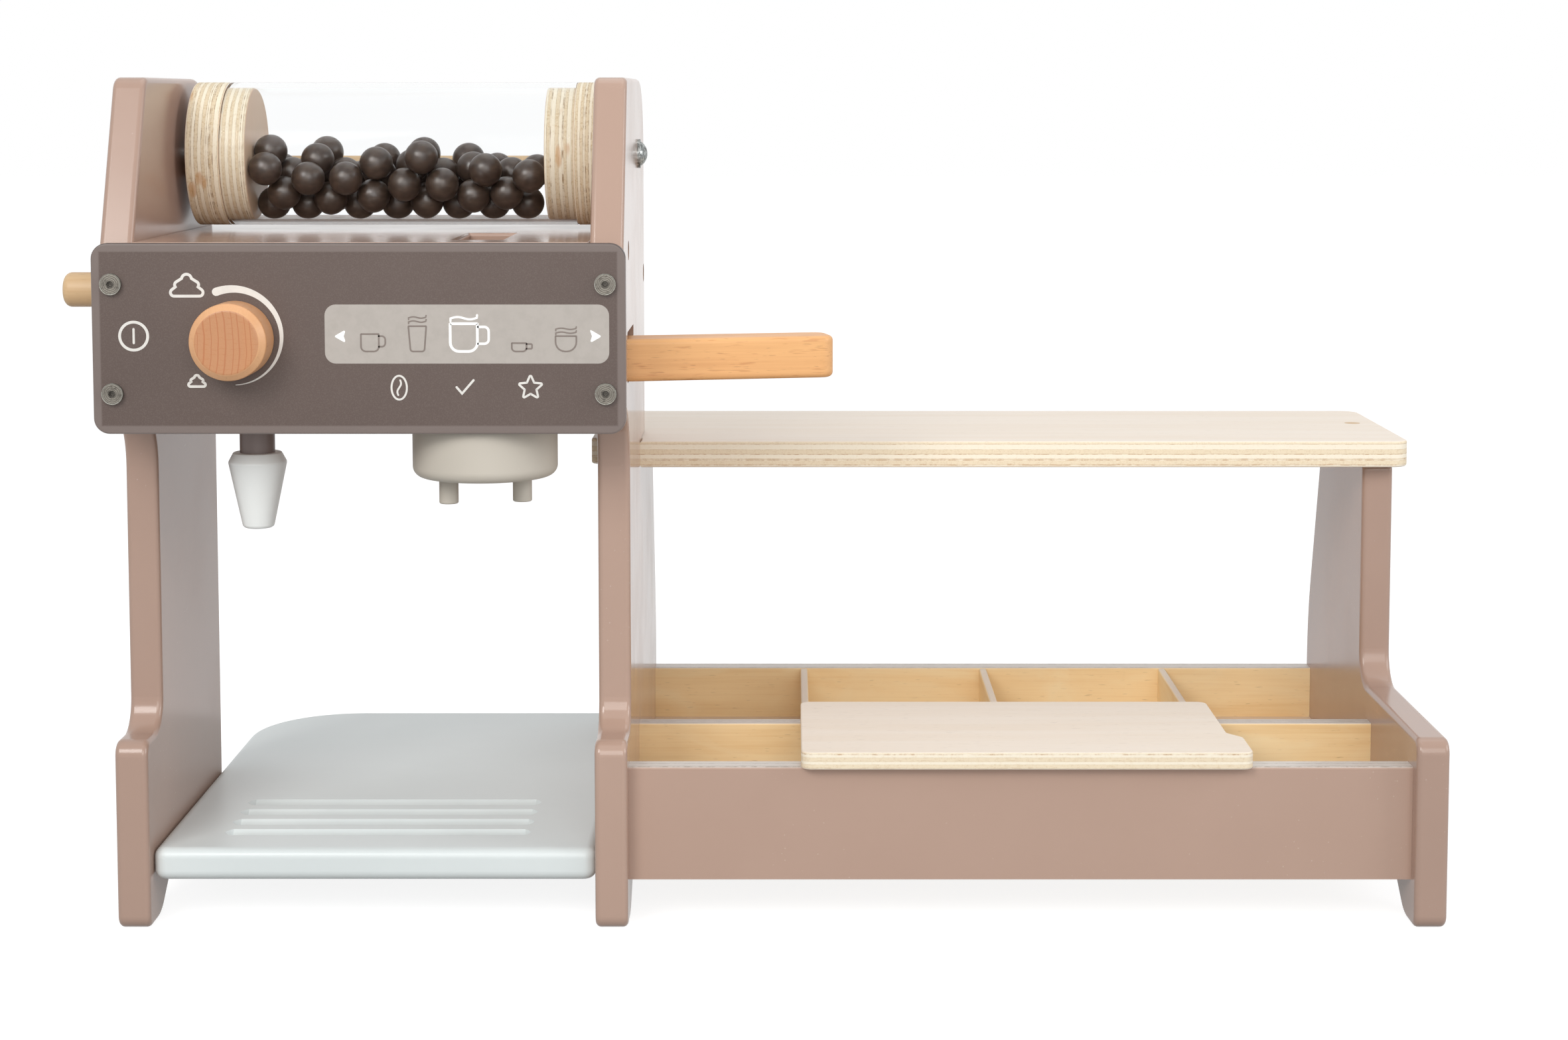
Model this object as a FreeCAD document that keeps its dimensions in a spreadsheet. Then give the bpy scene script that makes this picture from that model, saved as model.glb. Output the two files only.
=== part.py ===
import FreeCAD, Part
import math
import os
import re
import Sketcher
from FreeCAD import Placement, Rotation, Vector

# Toy coffee maker in painted board and plywood, in millimetres
# X runs to the right, Y to the back and Z up from the floor
# The origin is the middle of the footprint, on the floor
# Words used: the head holds the controls and the drum, the bay is the space for a cup,
# the rack is the low organiser on the right and the shelf spans above it

OUTPUT = "parts"

# Two coordinates closer than this count as one, in millimetres
SAME_PLACE = 1e-4

# Turns, in degrees
QUARTER_TURN = 90
FULL_TURN = 360

# Driving sizes, each one written once
SIZES = {
    # side panels
    "panel_thick": 15,
    "bay_width": 203,
    "rack_width": 359,
    "edge_round": 2.5,
    "toe_round": 6,
    "foot_run": 24,
    "foot_slope": 24,
    "heel_round": 20,
    "arch_height": 18,
    "arch_round": 8,
    # front outline of the two tall panels, measured from the front of the foot
    "head_lead": 13,
    "neck_set": 32,
    "ledge_height": 87,
    "ledge_round": 7,
    "neck_round": 14,
    "head_floor": 237,
    "throat_round": 28,
    "chin_round": 8,
    "brow_drop": 13,
    "brow_round": 20,
    "slant_run": 36.3,
    "crown_round": 8,
    "head_depth": 176,
    "nape_round": 36,
    # rear outline of the two deep panels
    "rear_reach": 272,
    "rear_break": 95,
    "rear_slope": 34,
    "rear_round": 150,
    "shelf_under": 197,
    "seat_round": 3,
    # right panel
    "arm_height": 88,
    "post_set": 130,
    "post_round": 16,
    # boards of the head
    "board_thick": 12,
    "board_round": 1.5,
    "board_inset": 2,
    "deck_height": 315,
    "crown_rise": 73,
    "slot_width": 21,
    "slot_length": 62,
    "slot_front": 23,
    "slot_inset": 51.7,
    "rail_depth": 12,
    "rail_height": 10.5,
    "rail_lift": 24.3,
    "rail_round": 3,
    # control cover and its screws
    "cover_thick": 5,
    "cover_drop": 6.8,
    "cover_margin": 0.2,
    "cover_over": 1.4,
    "cover_corner": 7,
    "cover_round": 0.8,
    "cover_screw_rise": 24.3,
    "cover_head_radius": 4.75,
    "cover_head_height": 2.2,
    "cover_head_round": 0.8,
    "cover_shank_radius": 2,
    "cover_shank_length": 22,
    "driver_radius": 1.6,
    "driver_depth": 1.2,
    # knob
    "knob_radius": 17,
    "knob_length": 20,
    "knob_chamfer": 3,
    "knob_inset": 47,
    "knob_bite": 12,
    "knob_axle_radius": 2.5,
    "knob_washer_radius": 7,
    "knob_washer_thick": 1.5,
    "knob_nut_radius": 4.6,
    "knob_nut_height": 4,
    # side peg
    "peg_radius": 8,
    "peg_out": 27.7,
    "peg_bite": 10,
    "peg_round": 3.5,
    "peg_set": 39,
    "peg_drop": 24.5,
    # steam wand
    "wand_radius": 8,
    "wand_set": 28,
    "wand_bite": 8,
    "nozzle_base": 181.4,
    "nozzle_height": 35,
    "nozzle_top_radius": 11,
    "nozzle_radius": 13.4,
    "nozzle_shoulder": 4.5,
    "nozzle_tip_radius": 7,
    "nozzle_round": 2,
    # brewing group
    "pivot_inset": 50.3,
    "pivot_set": 20,
    "pivot_radius": 8,
    "pivot_bite": 15,
    "cup_radius": 33,
    "cup_height": 30,
    "cup_round": 5,
    "cup_top_round": 1,
    "spout_radius": 4.4,
    "spout_out": 12.5,
    "spout_bite": 6,
    "spout_offset": 16.8,
    "spout_round": 0.8,
    "lever_yaw": 12,
    "lever_thick": 19.5,
    "lever_width": 24,
    "lever_tail": 16,
    "lever_reach": 161.5,
    "lever_corner": 7,
    "lever_round": 2.5,
    "gate_front": 17.4,
    "gate_back": 66,
    "gate_rise": 3.6,
    "gate_round": 2,
    # bean drum
    "drum_set": 112,
    "drum_lift": 2.2,
    "tube_radius": 34.5,
    "tube_wall": 2.5,
    "drum_left_gap": 4.9,
    "drum_right_gap": 2,
    "left_disc_thick": 16,
    "right_disc_thick": 12,
    "left_inner_thick": 12,
    "right_inner_thick": 14,
    "disc_round": 0.8,
    "axle_radius": 3,
    "axle_bite": 9,
    "washer_radius": 7,
    "washer_thick": 1.2,
    "cap_radius": 6,
    "cap_height": 3.4,
    "cap_wall": 0.8,
    "bead_radius": 8,
    "bead_count": 48,
    # shelf
    "shelf_thick": 13,
    "shelf_front": 118,
    "shelf_depth": 134,
    "shelf_over": 5.7,
    "shelf_corner": 9,
    "shelf_round": 1.2,
    "tongue_set": 13,
    "tongue_out": 10,
    "plug_set": 195,
    "plug_radius": 4,
    "plug_depth": 4,
    # drip tray
    "tray_front": 6,
    "tray_back": 290,
    "tray_under": 21,
    "tray_thick": 15,
    "tray_corner": 55,
    "tray_front_corner": 6,
    "tray_round": 4.5,
    "groove_first": 35.3,
    "groove_pitch": 18.3,
    "groove_count": 4,
    "groove_inset": 24,
    "groove_length": 150,
    "groove_radius": 6.5,
    "groove_depth": 3,
    # rack
    "rack_front": 9,
    "rack_board": 12,
    "rack_top": 73.5,
    "rack_floor_rise": 13,
    "rack_floor_thick": 6,
    "rack_round": 1,
    "middle_set": 101,
    "middle_thick": 10,
    "middle_top": 72.7,
    "back_set": 260,
    "back_top": 67.2,
    "divider_thick": 4,
    "divider_pitch": 98,
    "divider_count": 3,
    "divider_drop": 0.5,
    "divider_round": 1,
    # loose lid
    "lid_inset": 79,
    "lid_front": 3,
    "lid_width": 200,
    "lid_depth": 107,
    "lid_thick": 8,
    "lid_lug": 6.4,
    "lug_depth": 31,
    "lug_run": 9,
    "lid_corner": 5,
    "lug_round": 4,
    "lid_round": 0.8,
    # assembly screws
    "screw_radius": 2,
    "screw_length": 38,
    "screw_head_radius": 4.2,
    "screw_head_height": 3,
    "screw_sink": 4.5,
    "screw_recess_radius": 1.5,
    "screw_recess_depth": 1.5,
    "front_screw_set": 30,
    "tray_screw_first": 50,
    "tray_screw_second": 138,
    # clearances
    "fit_gap": 0.06,
    "seat_gap": 0.3,
    "lid_gap": 0.1,
}

# Places that follow from the sizes
PLACES = {
    "total_width": "peg_out + 3 * panel_thick + bay_width + rack_width + shelf_over",
    "left_x": "peg_out - total_width / 2",
    "bay_x": "left_x + panel_thick",
    "middle_x": "bay_x + bay_width",
    "rack_x": "middle_x + panel_thick",
    "right_x": "rack_x + rack_width",
    "end_x": "right_x + panel_thick",
    "knob_reach": "head_lead + cover_thick + seat_gap + knob_length",
    "foot_y": "(knob_reach - tray_back) / 2",
    "head_y": "foot_y - head_lead",
    "cover_y": "head_y - cover_thick",
    "rear_depth": "head_lead + rear_reach",
    "deck_base": "deck_height - board_thick",
    "panel_height": "deck_height + crown_rise",
    "brow_height": "deck_height - brow_drop",
    "peg_height": "deck_height - peg_drop",
    "rail_base": "deck_height + rail_lift",
    "bed_top": "head_floor + board_thick",
    "board_depth": "head_depth - board_inset",
    "back_board_y": "head_y + board_depth - board_thick",
    "cover_base": "head_floor - cover_drop",
    "cover_height": "deck_height - cover_margin - cover_base",
    "cover_middle": "cover_base + cover_height / 2",
    "cover_width": "bay_width + 2 * panel_thick + 2 * cover_over",
    "knob_x": "bay_x + knob_inset",
    "wand_y": "foot_y + wand_set",
    "pivot_x": "middle_x - pivot_inset",
    "pivot_y": "foot_y + pivot_set",
    "lever_base": "bed_top + seat_gap",
    "lever_top": "lever_base + lever_thick",
    "cup_base": "head_floor - seat_gap - cup_height",
    "dowel_base": "head_floor - seat_gap - pivot_bite",
    "drum_y": "foot_y + drum_set",
    "drum_x": "bay_x + drum_left_gap",
    "drum_height": "deck_height + drum_lift + tube_radius",
    "tube_x": "drum_x + left_disc_thick",
    "tube_length": "middle_x - drum_right_gap - right_disc_thick - tube_x",
    "tube_bore": "tube_radius - tube_wall",
    "shelf_top": "shelf_under + shelf_thick",
    "shelf_y": "foot_y + shelf_front",
    "shelf_length": "rack_width + panel_thick + shelf_over",
    "tray_y": "foot_y + tray_front",
    "tray_depth": "tray_back - tray_front",
    "tray_top": "tray_under + tray_thick",
    "rack_y": "foot_y + rack_front",
    "rack_inner_y": "rack_y + rack_board",
    "middle_y": "foot_y + middle_set",
    "back_y": "foot_y + back_set",
    "rack_floor_base": "tray_under + rack_floor_rise",
    "rack_floor_top": "rack_floor_base + rack_floor_thick",
    "top_screw_height": "deck_height - board_thick / 2",
    "back_screw_set": "board_depth - head_lead - board_thick / 2",
    "back_screw_height": "deck_base - board_thick",
    "rack_screw_height": "(tray_under + rack_top) / 2",
    "tray_screw_height": "tray_under + tray_thick / 2",
    "front_board_middle": "rack_front + rack_board / 2",
    "middle_board_middle": "middle_set + middle_thick / 2",
    "back_board_middle": "back_set + rack_board / 2",
}

doc = FreeCAD.newDocument("toy_coffee_maker")
subparts = []


# The sheets and their formulas


def make_sheet(name, cells):
    sheet = doc.addObject("Spreadsheet::Sheet", name)
    for row, (alias, content) in enumerate(cells.items(), start=1):
        sheet.set(f"A{row}", alias)
        sheet.set(f"B{row}", str(content) if name == "sizes" else "=" + formula(content))
        sheet.setAlias(f"B{row}", alias)
    doc.recompute()
    return sheet


def formula(text):
    """The expression that a bare formula stands for, with each name led by its sheet."""

    def led(match):
        word = match.group()
        if word in SIZES:
            return "sizes." + word
        return "places." + word if word in PLACES else word

    return re.sub(r"[a-z]+(?:_[a-z]+)*", led, str(text))


def value(text):
    """The number that a bare formula gives now."""
    number = sizes.evalExpression(formula(text))
    return float(getattr(number, "Value", number))


def bind(item, prop, text):
    item.setExpression(prop, formula(text))


sizes = make_sheet("sizes", SIZES)
places = make_sheet("places", PLACES)


# Sketches


def origin_item(body, role):
    return next(item for item in body.Origin.OriginFeatures if item.Role == role)


def new_sketch(body, plane, offset=None):
    sketch = body.newObject("Sketcher::SketchObject", "Sketch")
    sketch.AttachmentSupport = [(origin_item(body, plane), "")]
    sketch.MapMode = "FlatFace"
    if offset is not None:
        bind(sketch, "AttachmentOffset.Base.z", offset)
    return sketch


def fix_point(sketch, shape, point, across, up):
    """Ties one point of a shape to its two coordinates in the sketch."""
    for kind, axis, text in (("DistanceX", -2, across), ("DistanceY", -1, up)):
        if str(text) == "0":
            sketch.addConstraint(Sketcher.Constraint("PointOnObject", shape, point, axis))
            continue
        index = sketch.addConstraint(
            Sketcher.Constraint(kind, -1, 1, shape, point, value(text))
        )
        bind(sketch, f"Constraints[{index}]", text)


def polygon(sketch, corners):
    """A closed outline whose corners are pairs of formulas."""
    points = [Vector(value(across), value(up), 0) for across, up in corners]
    ends = points[1:] + points[:1]
    lines = [sketch.addGeometry(Part.LineSegment(p, q), False) for p, q in zip(points, ends)]
    for index, line in enumerate(lines):
        following = lines[(index + 1) % len(lines)]
        sketch.addConstraint(Sketcher.Constraint("Coincident", line, 2, following, 1))
        fix_point(sketch, line, 1, *corners[index])


def circle(sketch, across, up, radius):
    middle = Vector(value(across), value(up), 0)
    ring = sketch.addGeometry(Part.Circle(middle, Vector(0, 0, 1), value(radius)), False)
    fix_point(sketch, ring, 3, across, up)
    index = sketch.addConstraint(Sketcher.Constraint("Radius", ring, value(radius)))
    bind(sketch, f"Constraints[{index}]", radius)


# Features


def new_body(label):
    body = doc.addObject("PartDesign::Body", label)
    body.Label = label
    subparts.append(body)
    return body


def place(item, x, y, z, axis=None, angle=0):
    if axis is not None:
        item.Placement = Placement(Vector(), Rotation(axis, angle))
    for prop, text in (("x", x), ("y", y), ("z", z)):
        bind(item, "Placement.Base." + prop, text)


def pad(body, sketch, length):
    feature = body.newObject("PartDesign::Pad", "Pad")
    feature.Profile = sketch
    bind(feature, "Length", length)
    doc.recompute()


def carve(body, sketch, depth, forward=False):
    """Cuts a sketch into the body, against its plane's normal or along it."""
    before = body.Shape.Volume
    feature = body.newObject("PartDesign::Pocket", "Pocket")
    feature.Profile = sketch
    feature.Reversed = forward
    bind(feature, "Length", depth)
    doc.recompute()
    if body.Shape.Volume >= before:
        raise ValueError(f"a cut in {body.Label} removes nothing")


def carve_circles(body, plane, offset, depth, holes, forward=False):
    """Cuts round holes, each given as across, up and radius."""
    sketch = new_sketch(body, plane, offset)
    for hole in holes:
        circle(sketch, *hole)
    carve(body, sketch, depth, forward)


def carve_polygon(body, plane, offset, depth, corners, forward=False):
    sketch = new_sketch(body, plane, offset)
    polygon(sketch, corners)
    carve(body, sketch, depth, forward)


def round_edges(body, radius, chosen):
    """Rounds the edges of the body so far that the test picks."""
    tip = body.Tip
    names = [f"Edge{n}" for n, edge in enumerate(tip.Shape.Edges, start=1) if chosen(edge)]
    if not names:
        raise ValueError(f"no edge to round in {body.Label}")
    feature = body.newObject("PartDesign::Fillet", "Fillet")
    feature.Base = (tip, names)
    bind(feature, "Radius", radius)
    doc.recompute()


def near(a, b):
    return abs(a - b) < SAME_PLACE


def same_spot(one, other):
    return all(near(a, b) for a, b in zip(one, other))


def along(axis, *spots):
    """Picks the edges along an axis that pass through given spots of the plane across it."""
    others = [n for n in range(3) if n != axis]
    targets = [[value(text) for text in spot] for spot in spots]

    def chosen(edge):
        ends = [[vertex.Point[n] for n in others] for vertex in edge.Vertexes]
        if len(ends) != 2 or not same_spot(*ends):
            return False
        return any(same_spot(ends[0], target) for target in targets)

    return chosen


def at_level(axis, *levels):
    """Picks the edges that lie in a plane square to an axis, at any of the levels."""
    targets = [value(level) for level in levels]

    def chosen(edge):
        box = edge.BoundBox
        low = (box.XMin, box.YMin, box.ZMin)[axis]
        high = (box.XMax, box.YMax, box.ZMax)[axis]
        return near(low, high) and any(near(low, target) for target in targets)

    return chosen


def rings(*spots):
    """Picks the circles about the turning axis at given radii and heights."""
    targets = [(value(radius), value(height)) for radius, height in spots]

    def chosen(edge):
        if not isinstance(edge.Curve, Part.Circle):
            return False
        return any(
            near(edge.Curve.Radius, radius) and near(edge.Curve.Center.z, height)
            for radius, height in targets
        )

    return chosen


def turned(label, outline, rounds=()):
    """A piece turned about its own Z axis from an outline of radii and heights."""
    body = new_body(label)
    sketch = new_sketch(body, "XZ_Plane")
    polygon(sketch, outline)
    feature = body.newObject("PartDesign::Revolution", "Revolution")
    feature.Profile = sketch
    feature.ReferenceAxis = (sketch, ["V_Axis"])
    feature.Angle = FULL_TURN
    doc.recompute()
    for radius, *spots in rounds:
        round_edges(body, radius, rings(*spots))
    return body


def rectangle(width, depth):
    return [("0", "0"), (width, "0"), (width, depth), ("0", depth)]


def board(label, width, depth, height, rounding=None, edges=None):
    """A rectangular board, its near left bottom corner at its own origin."""
    body = new_body(label)
    sketch = new_sketch(body, "XY_Plane")
    polygon(sketch, rectangle(width, depth))
    pad(body, sketch, height)
    if rounding:
        round_edges(body, rounding, edges)
    return body


# Placing turned pieces: each facing turns their Z axis to one side of the part

TO_RIGHT = (Vector(0, 1, 0), QUARTER_TURN)
TO_LEFT = (Vector(0, 1, 0), -QUARTER_TURN)
TO_FRONT = (Vector(1, 0, 0), QUARTER_TURN)
TO_BACK = (Vector(1, 0, 0), -QUARTER_TURN)


def behind(facing, x, y, distance):
    """The X and Y of a point at a distance behind another one that faces right, left or back."""
    if facing is TO_BACK:
        return x, f"{y} - ({distance})"
    sign = "-" if facing is TO_RIGHT else "+"
    return f"{x} {sign} ({distance})", y


# Side panels, drawn from the side: across is the depth behind the head's front, up is Z


def foot_corners(depth):
    """The underside of a panel: a toe in front, a low arch and a heel behind."""
    front = "head_lead + "
    return [
        ("head_lead", "0"),
        (front + "foot_run", "0"),
        (front + "foot_run + foot_slope", "arch_height"),
        (depth + " - foot_run - foot_slope", "arch_height"),
        (depth + " - foot_run", "0"),
        (depth, "0"),
    ]


def head_corners():
    """The front of a tall panel, from its top down to the ledge over the foot."""
    return [
        ("slant_run", "panel_height"),
        ("0", "brow_height"),
        ("0", "head_floor"),
        ("head_lead + neck_set", "head_floor"),
        ("head_lead + neck_set", "ledge_height"),
        ("head_lead", "ledge_height"),
    ]


FOOT_ROUNDS = ("toe_round", "heel_round", "arch_round", "arch_round", "heel_round", "toe_round")
HEAD_ROUNDS = (
    "crown_round",
    "brow_round",
    "chin_round",
    "throat_round",
    "neck_round",
    "ledge_round",
)


def panel(label, corners, rounds):
    """A side panel with rounded corners and softened edges on both faces."""
    body = new_body(label)
    sketch = new_sketch(body, "YZ_Plane")
    polygon(sketch, corners)
    pad(body, sketch, "panel_thick")
    for radius in dict.fromkeys(rounds):
        spots = [corner for corner, size in zip(corners, rounds) if size == radius]
        round_edges(body, radius, along(0, *spots))
    round_edges(body, "edge_round", at_level(0, "0", "panel_thick"))
    return body


def sink_screws(body, outer_face, spots):
    """Clearance holes and sunk seats for screws that enter a panel from one face."""
    forward = outer_face == "0"
    shanks = [(*spot, "screw_radius + fit_gap") for spot in spots]
    heads = [(*spot, "screw_head_radius + seat_gap") for spot in spots]
    carve_circles(body, "YZ_Plane", outer_face, "panel_thick + edge_round", shanks, forward)
    carve_circles(body, "YZ_Plane", outer_face, "screw_sink", heads, forward)


HEAD_SCREWS = [
    ("head_lead + front_screw_set", "top_screw_height"),
    ("head_lead + back_screw_set", "back_screw_height"),
]
RACK_SCREWS = [
    ("head_lead + front_board_middle", "rack_screw_height"),
    ("head_lead + middle_board_middle", "rack_screw_height"),
    ("head_lead + back_board_middle", "rack_screw_height"),
]
TRAY_SCREWS = [
    ("head_lead + tray_screw_first", "tray_screw_height"),
    ("head_lead + tray_screw_second", "tray_screw_height"),
]
COVER_SCREW_HEIGHTS = ("cover_middle - cover_screw_rise", "cover_middle + cover_screw_rise")
AXLE_HOLE = ("head_lead + drum_set", "drum_height", "axle_radius + fit_gap")


def drill_head(body):
    """The drum's axle hole and the two holes for the cover screws in the front edge."""
    carve_circles(body, "YZ_Plane", "panel_thick", "panel_thick + edge_round", [AXLE_HOLE])
    holes = [("panel_thick / 2", up, "cover_shank_radius + fit_gap") for up in COVER_SCREW_HEIGHTS]
    carve_circles(body, "XZ_Plane", "0", "cover_shank_length", holes)


def make_left_panel():
    corners = foot_corners("head_depth") + [("head_depth", "panel_height")] + head_corners()
    body = panel("left_side_panel", corners, FOOT_ROUNDS + ("nape_round",) + HEAD_ROUNDS)
    drill_head(body)
    sink_screws(body, "0", HEAD_SCREWS + TRAY_SCREWS)
    peg = ("head_lead + peg_set", "peg_height", "peg_radius + fit_gap")
    carve_circles(body, "YZ_Plane", "0", "peg_bite", [peg], forward=True)
    place(body, "left_x", "head_y", "0")


def deep_corners():
    """The rear edge of a deep panel, which leans in towards the shelf."""
    return [
        ("rear_depth", "rear_break"),
        ("rear_depth - rear_slope", "shelf_under"),
    ]


def make_middle_panel():
    corners = (
        foot_corners("rear_depth")
        + deep_corners()
        + [("head_depth", "shelf_under"), ("head_depth", "panel_height")]
        + head_corners()
    )
    middle_rounds = ("rear_round", "seat_round", "seat_round", "nape_round")
    body = panel("middle_side_panel", corners, FOOT_ROUNDS + middle_rounds + HEAD_ROUNDS)
    drill_head(body)
    sink_screws(body, "panel_thick", HEAD_SCREWS)
    sink_screws(body, "0", RACK_SCREWS)
    tongue = "head_lead + shelf_front + tongue_set - seat_gap"
    notch = [
        (tongue, "shelf_under"),
        ("head_depth + 2 * seat_round", "shelf_under"),
        ("head_depth + 2 * seat_round", "shelf_top + seat_gap"),
        (tongue, "shelf_top + seat_gap"),
    ]
    carve_polygon(body, "YZ_Plane", "panel_thick", "panel_thick + edge_round", notch)
    gate = [
        ("head_lead + gate_front", "bed_top"),
        ("head_lead + gate_back", "bed_top"),
        ("head_lead + gate_back", "lever_top + gate_rise"),
        ("head_lead + gate_front", "lever_top + gate_rise"),
    ]
    carve_polygon(body, "YZ_Plane", "panel_thick", "panel_thick + edge_round", gate)
    round_edges(body, "gate_round", along(0, *gate))
    place(body, "middle_x", "head_y", "0")


def make_right_panel():
    corners = (
        foot_corners("rear_depth")
        + deep_corners()
        + [
            ("head_lead + post_set", "shelf_under"),
            ("head_lead + post_set", "arm_height"),
            ("head_lead", "arm_height"),
        ]
    )
    right_rounds = ("rear_round", "seat_round", "seat_round", "post_round", "ledge_round")
    body = panel("right_side_panel", corners, FOOT_ROUNDS + right_rounds)
    sink_screws(body, "panel_thick", RACK_SCREWS)
    spot = ("panel_thick / 2", "head_lead + plug_set", "screw_radius + fit_gap")
    carve_circles(body, "XY_Plane", "shelf_under", "screw_length", [spot])
    place(body, "right_x", "head_y", "0")


# Boards of the head


def bore_ends(body, width, spots):
    """Pilot holes for screws in both ends of a board, given across Y and Z."""
    holes = [(*spot, "screw_radius + fit_gap") for spot in spots]
    depth = "screw_length - panel_thick + screw_sink"
    carve_circles(body, "YZ_Plane", "0", depth, holes, forward=True)
    carve_circles(body, "YZ_Plane", width, depth, holes)


def make_head_top():
    """The deck under the drum, with the slot for capsules."""
    body = board("head_top_board", "bay_width", "board_depth", "board_thick")
    right = "bay_width - slot_inset + slot_width / 2"
    slot = [
        (right + " - slot_width", "slot_front"),
        (right, "slot_front"),
        (right, "slot_front + slot_length"),
        (right + " - slot_width", "slot_front + slot_length"),
    ]
    carve_polygon(body, "XY_Plane", "board_thick", "2 * board_thick", slot)
    round_edges(body, "board_round", at_level(2, "board_thick"))
    bore_ends(body, "bay_width", [("head_lead + front_screw_set", "board_thick / 2")])
    place(body, "bay_x", "head_y", "deck_base")


def make_head_bottom():
    """The bed of the lever, with holes for the pivot dowel and the wand."""
    body = board("head_bottom_board", "bay_width", "board_depth", "board_thick")
    holes = [
        ("bay_width - pivot_inset", "head_lead + pivot_set", "pivot_radius + fit_gap"),
        ("knob_inset", "head_lead + wand_set", "wand_radius + fit_gap"),
    ]
    carve_circles(body, "XY_Plane", "board_thick", "2 * board_thick", holes)
    place(body, "bay_x", "head_y", "head_floor")


def make_head_back():
    body = board("head_back_board", "bay_width", "board_thick", "deck_base - bed_top")
    bore_ends(body, "bay_width", [("board_thick / 2", "back_screw_height - bed_top")])
    place(body, "bay_x", "back_board_y", "bed_top")


def make_rear_rail():
    """A slim rail behind the drum that ties the two tall panels."""
    lengthwise = along(0, *rectangle("rail_depth", "rail_height"))
    body = board(
        "head_rear_rail", "bay_width", "rail_depth", "rail_height", "rail_round", lengthwise
    )
    place(body, "bay_x", "head_y + board_depth - rail_depth", "rail_base")


# Control cover, its screws and the knob


def make_cover():
    body = board("control_cover", "cover_width", "cover_thick", "cover_height")
    corners = [
        (across, up) for across in ("0", "cover_width") for up in ("0", "cover_height")
    ]
    round_edges(body, "cover_corner", along(1, *corners))
    round_edges(body, "cover_round", at_level(1, "0", "cover_thick"))
    screw_across = ("cover_over + panel_thick / 2", "cover_width - cover_over - panel_thick / 2")
    holes = [
        (across, up + " - cover_base", "cover_shank_radius + fit_gap")
        for across in screw_across
        for up in COVER_SCREW_HEIGHTS
    ]
    knob = "cover_over + panel_thick + knob_inset"
    holes.append((knob, "cover_height / 2", "knob_axle_radius + fit_gap"))
    carve_circles(body, "XZ_Plane", "0", "cover_thick", holes)
    place(body, "left_x - cover_over", "cover_y", "cover_base")


def make_knob():
    """A short beech cylinder with a broad chamfer, bored from behind for its axle."""
    outline = [
        ("knob_axle_radius + fit_gap", "0"),
        ("knob_radius", "0"),
        ("knob_radius", "knob_length - knob_chamfer"),
        ("knob_radius - knob_chamfer", "knob_length"),
        ("0", "knob_length"),
        ("0", "knob_bite"),
        ("knob_axle_radius + fit_gap", "knob_bite"),
    ]
    rounds = [
        (
            "knob_chamfer / 2",
            ("knob_radius", "knob_length - knob_chamfer"),
            ("knob_radius - knob_chamfer", "knob_length"),
        )
    ]
    body = turned("control_knob", outline, rounds)
    place(body, "knob_x", "cover_y - seat_gap", "cover_middle", *TO_FRONT)


def make_knob_axle():
    """The screw that carries the knob: its shank, washer and nut behind the cover."""
    back = "0 - knob_washer_thick"
    outline = [
        ("0", "knob_bite + cover_thick + seat_gap"),
        ("0", back + " - knob_nut_height"),
        ("knob_nut_radius", back + " - knob_nut_height"),
        ("knob_nut_radius", back),
        ("knob_washer_radius", back),
        ("knob_washer_radius", "0"),
        ("knob_axle_radius", "0"),
        ("knob_axle_radius", "knob_bite + cover_thick + seat_gap"),
    ]
    body = turned("knob_axle", outline)
    place(body, "knob_x", "head_y + fit_gap", "cover_middle", *TO_FRONT)


def make_side_peg():
    outline = rectangle("peg_radius", "peg_bite + peg_out")
    rounds = [("peg_round", ("peg_radius", "peg_bite + peg_out"))]
    body = turned("side_peg", outline, rounds)
    place(body, "left_x + peg_bite", "foot_y + peg_set", "peg_height", *TO_LEFT)


# Steam wand


def make_wand():
    """A dowel that hangs from the bed into the top of the nozzle."""
    base = "nozzle_base + nozzle_height - wand_bite"
    body = turned("steam_wand_tube", rectangle("wand_radius", "bed_top - (" + base + ")"))
    place(body, "knob_x", "wand_y", base)


def make_nozzle():
    """A turned cone, wide at its shoulder, with a socket for the dowel."""
    socket = "wand_radius + fit_gap"
    floor = "nozzle_height - wand_bite"
    outline = [
        ("0", "0"),
        ("nozzle_tip_radius", "0"),
        ("nozzle_radius", "nozzle_height - nozzle_shoulder"),
        ("nozzle_top_radius", "nozzle_height"),
        (socket, "nozzle_height"),
        (socket, floor),
        ("0", floor),
    ]
    rounds = [
        (
            "nozzle_round",
            ("nozzle_tip_radius", "0"),
            ("nozzle_radius", "nozzle_height - nozzle_shoulder"),
        ),
        ("nozzle_round / 2", ("nozzle_top_radius", "nozzle_height")),
    ]
    body = turned("steam_nozzle", outline, rounds)
    place(body, "knob_x", "wand_y", "nozzle_base")


# Brewing group: it swings about the pivot dowel as one piece


def swung(body, x, y, z):
    """Places a piece at the pivot, turned with the lever."""
    place(body, x, y, z, Vector(0, 0, 1), value("lever_yaw"))
    bind(body, "Placement.Rotation.Angle", "lever_yaw")


def make_cup():
    """The white brewing cup, with a socket for the dowel and two for the spouts."""
    socket = "pivot_radius + fit_gap"
    floor = "cup_height - pivot_bite"
    outline = [
        ("0", "0"),
        ("cup_radius", "0"),
        ("cup_radius", "cup_height"),
        (socket, "cup_height"),
        (socket, floor),
        ("0", floor),
    ]
    rounds = [
        ("cup_round", ("cup_radius", "0")),
        ("cup_top_round", ("cup_radius", "cup_height")),
    ]
    body = turned("brew_cup", outline, rounds)
    holes = [
        (side + "spout_offset", "0", "spout_radius + fit_gap") for side in ("0 - ", "")
    ]
    carve_circles(body, "XY_Plane", "0", "spout_bite", holes, forward=True)
    swung(body, "pivot_x", "pivot_y", "cup_base")


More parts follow.
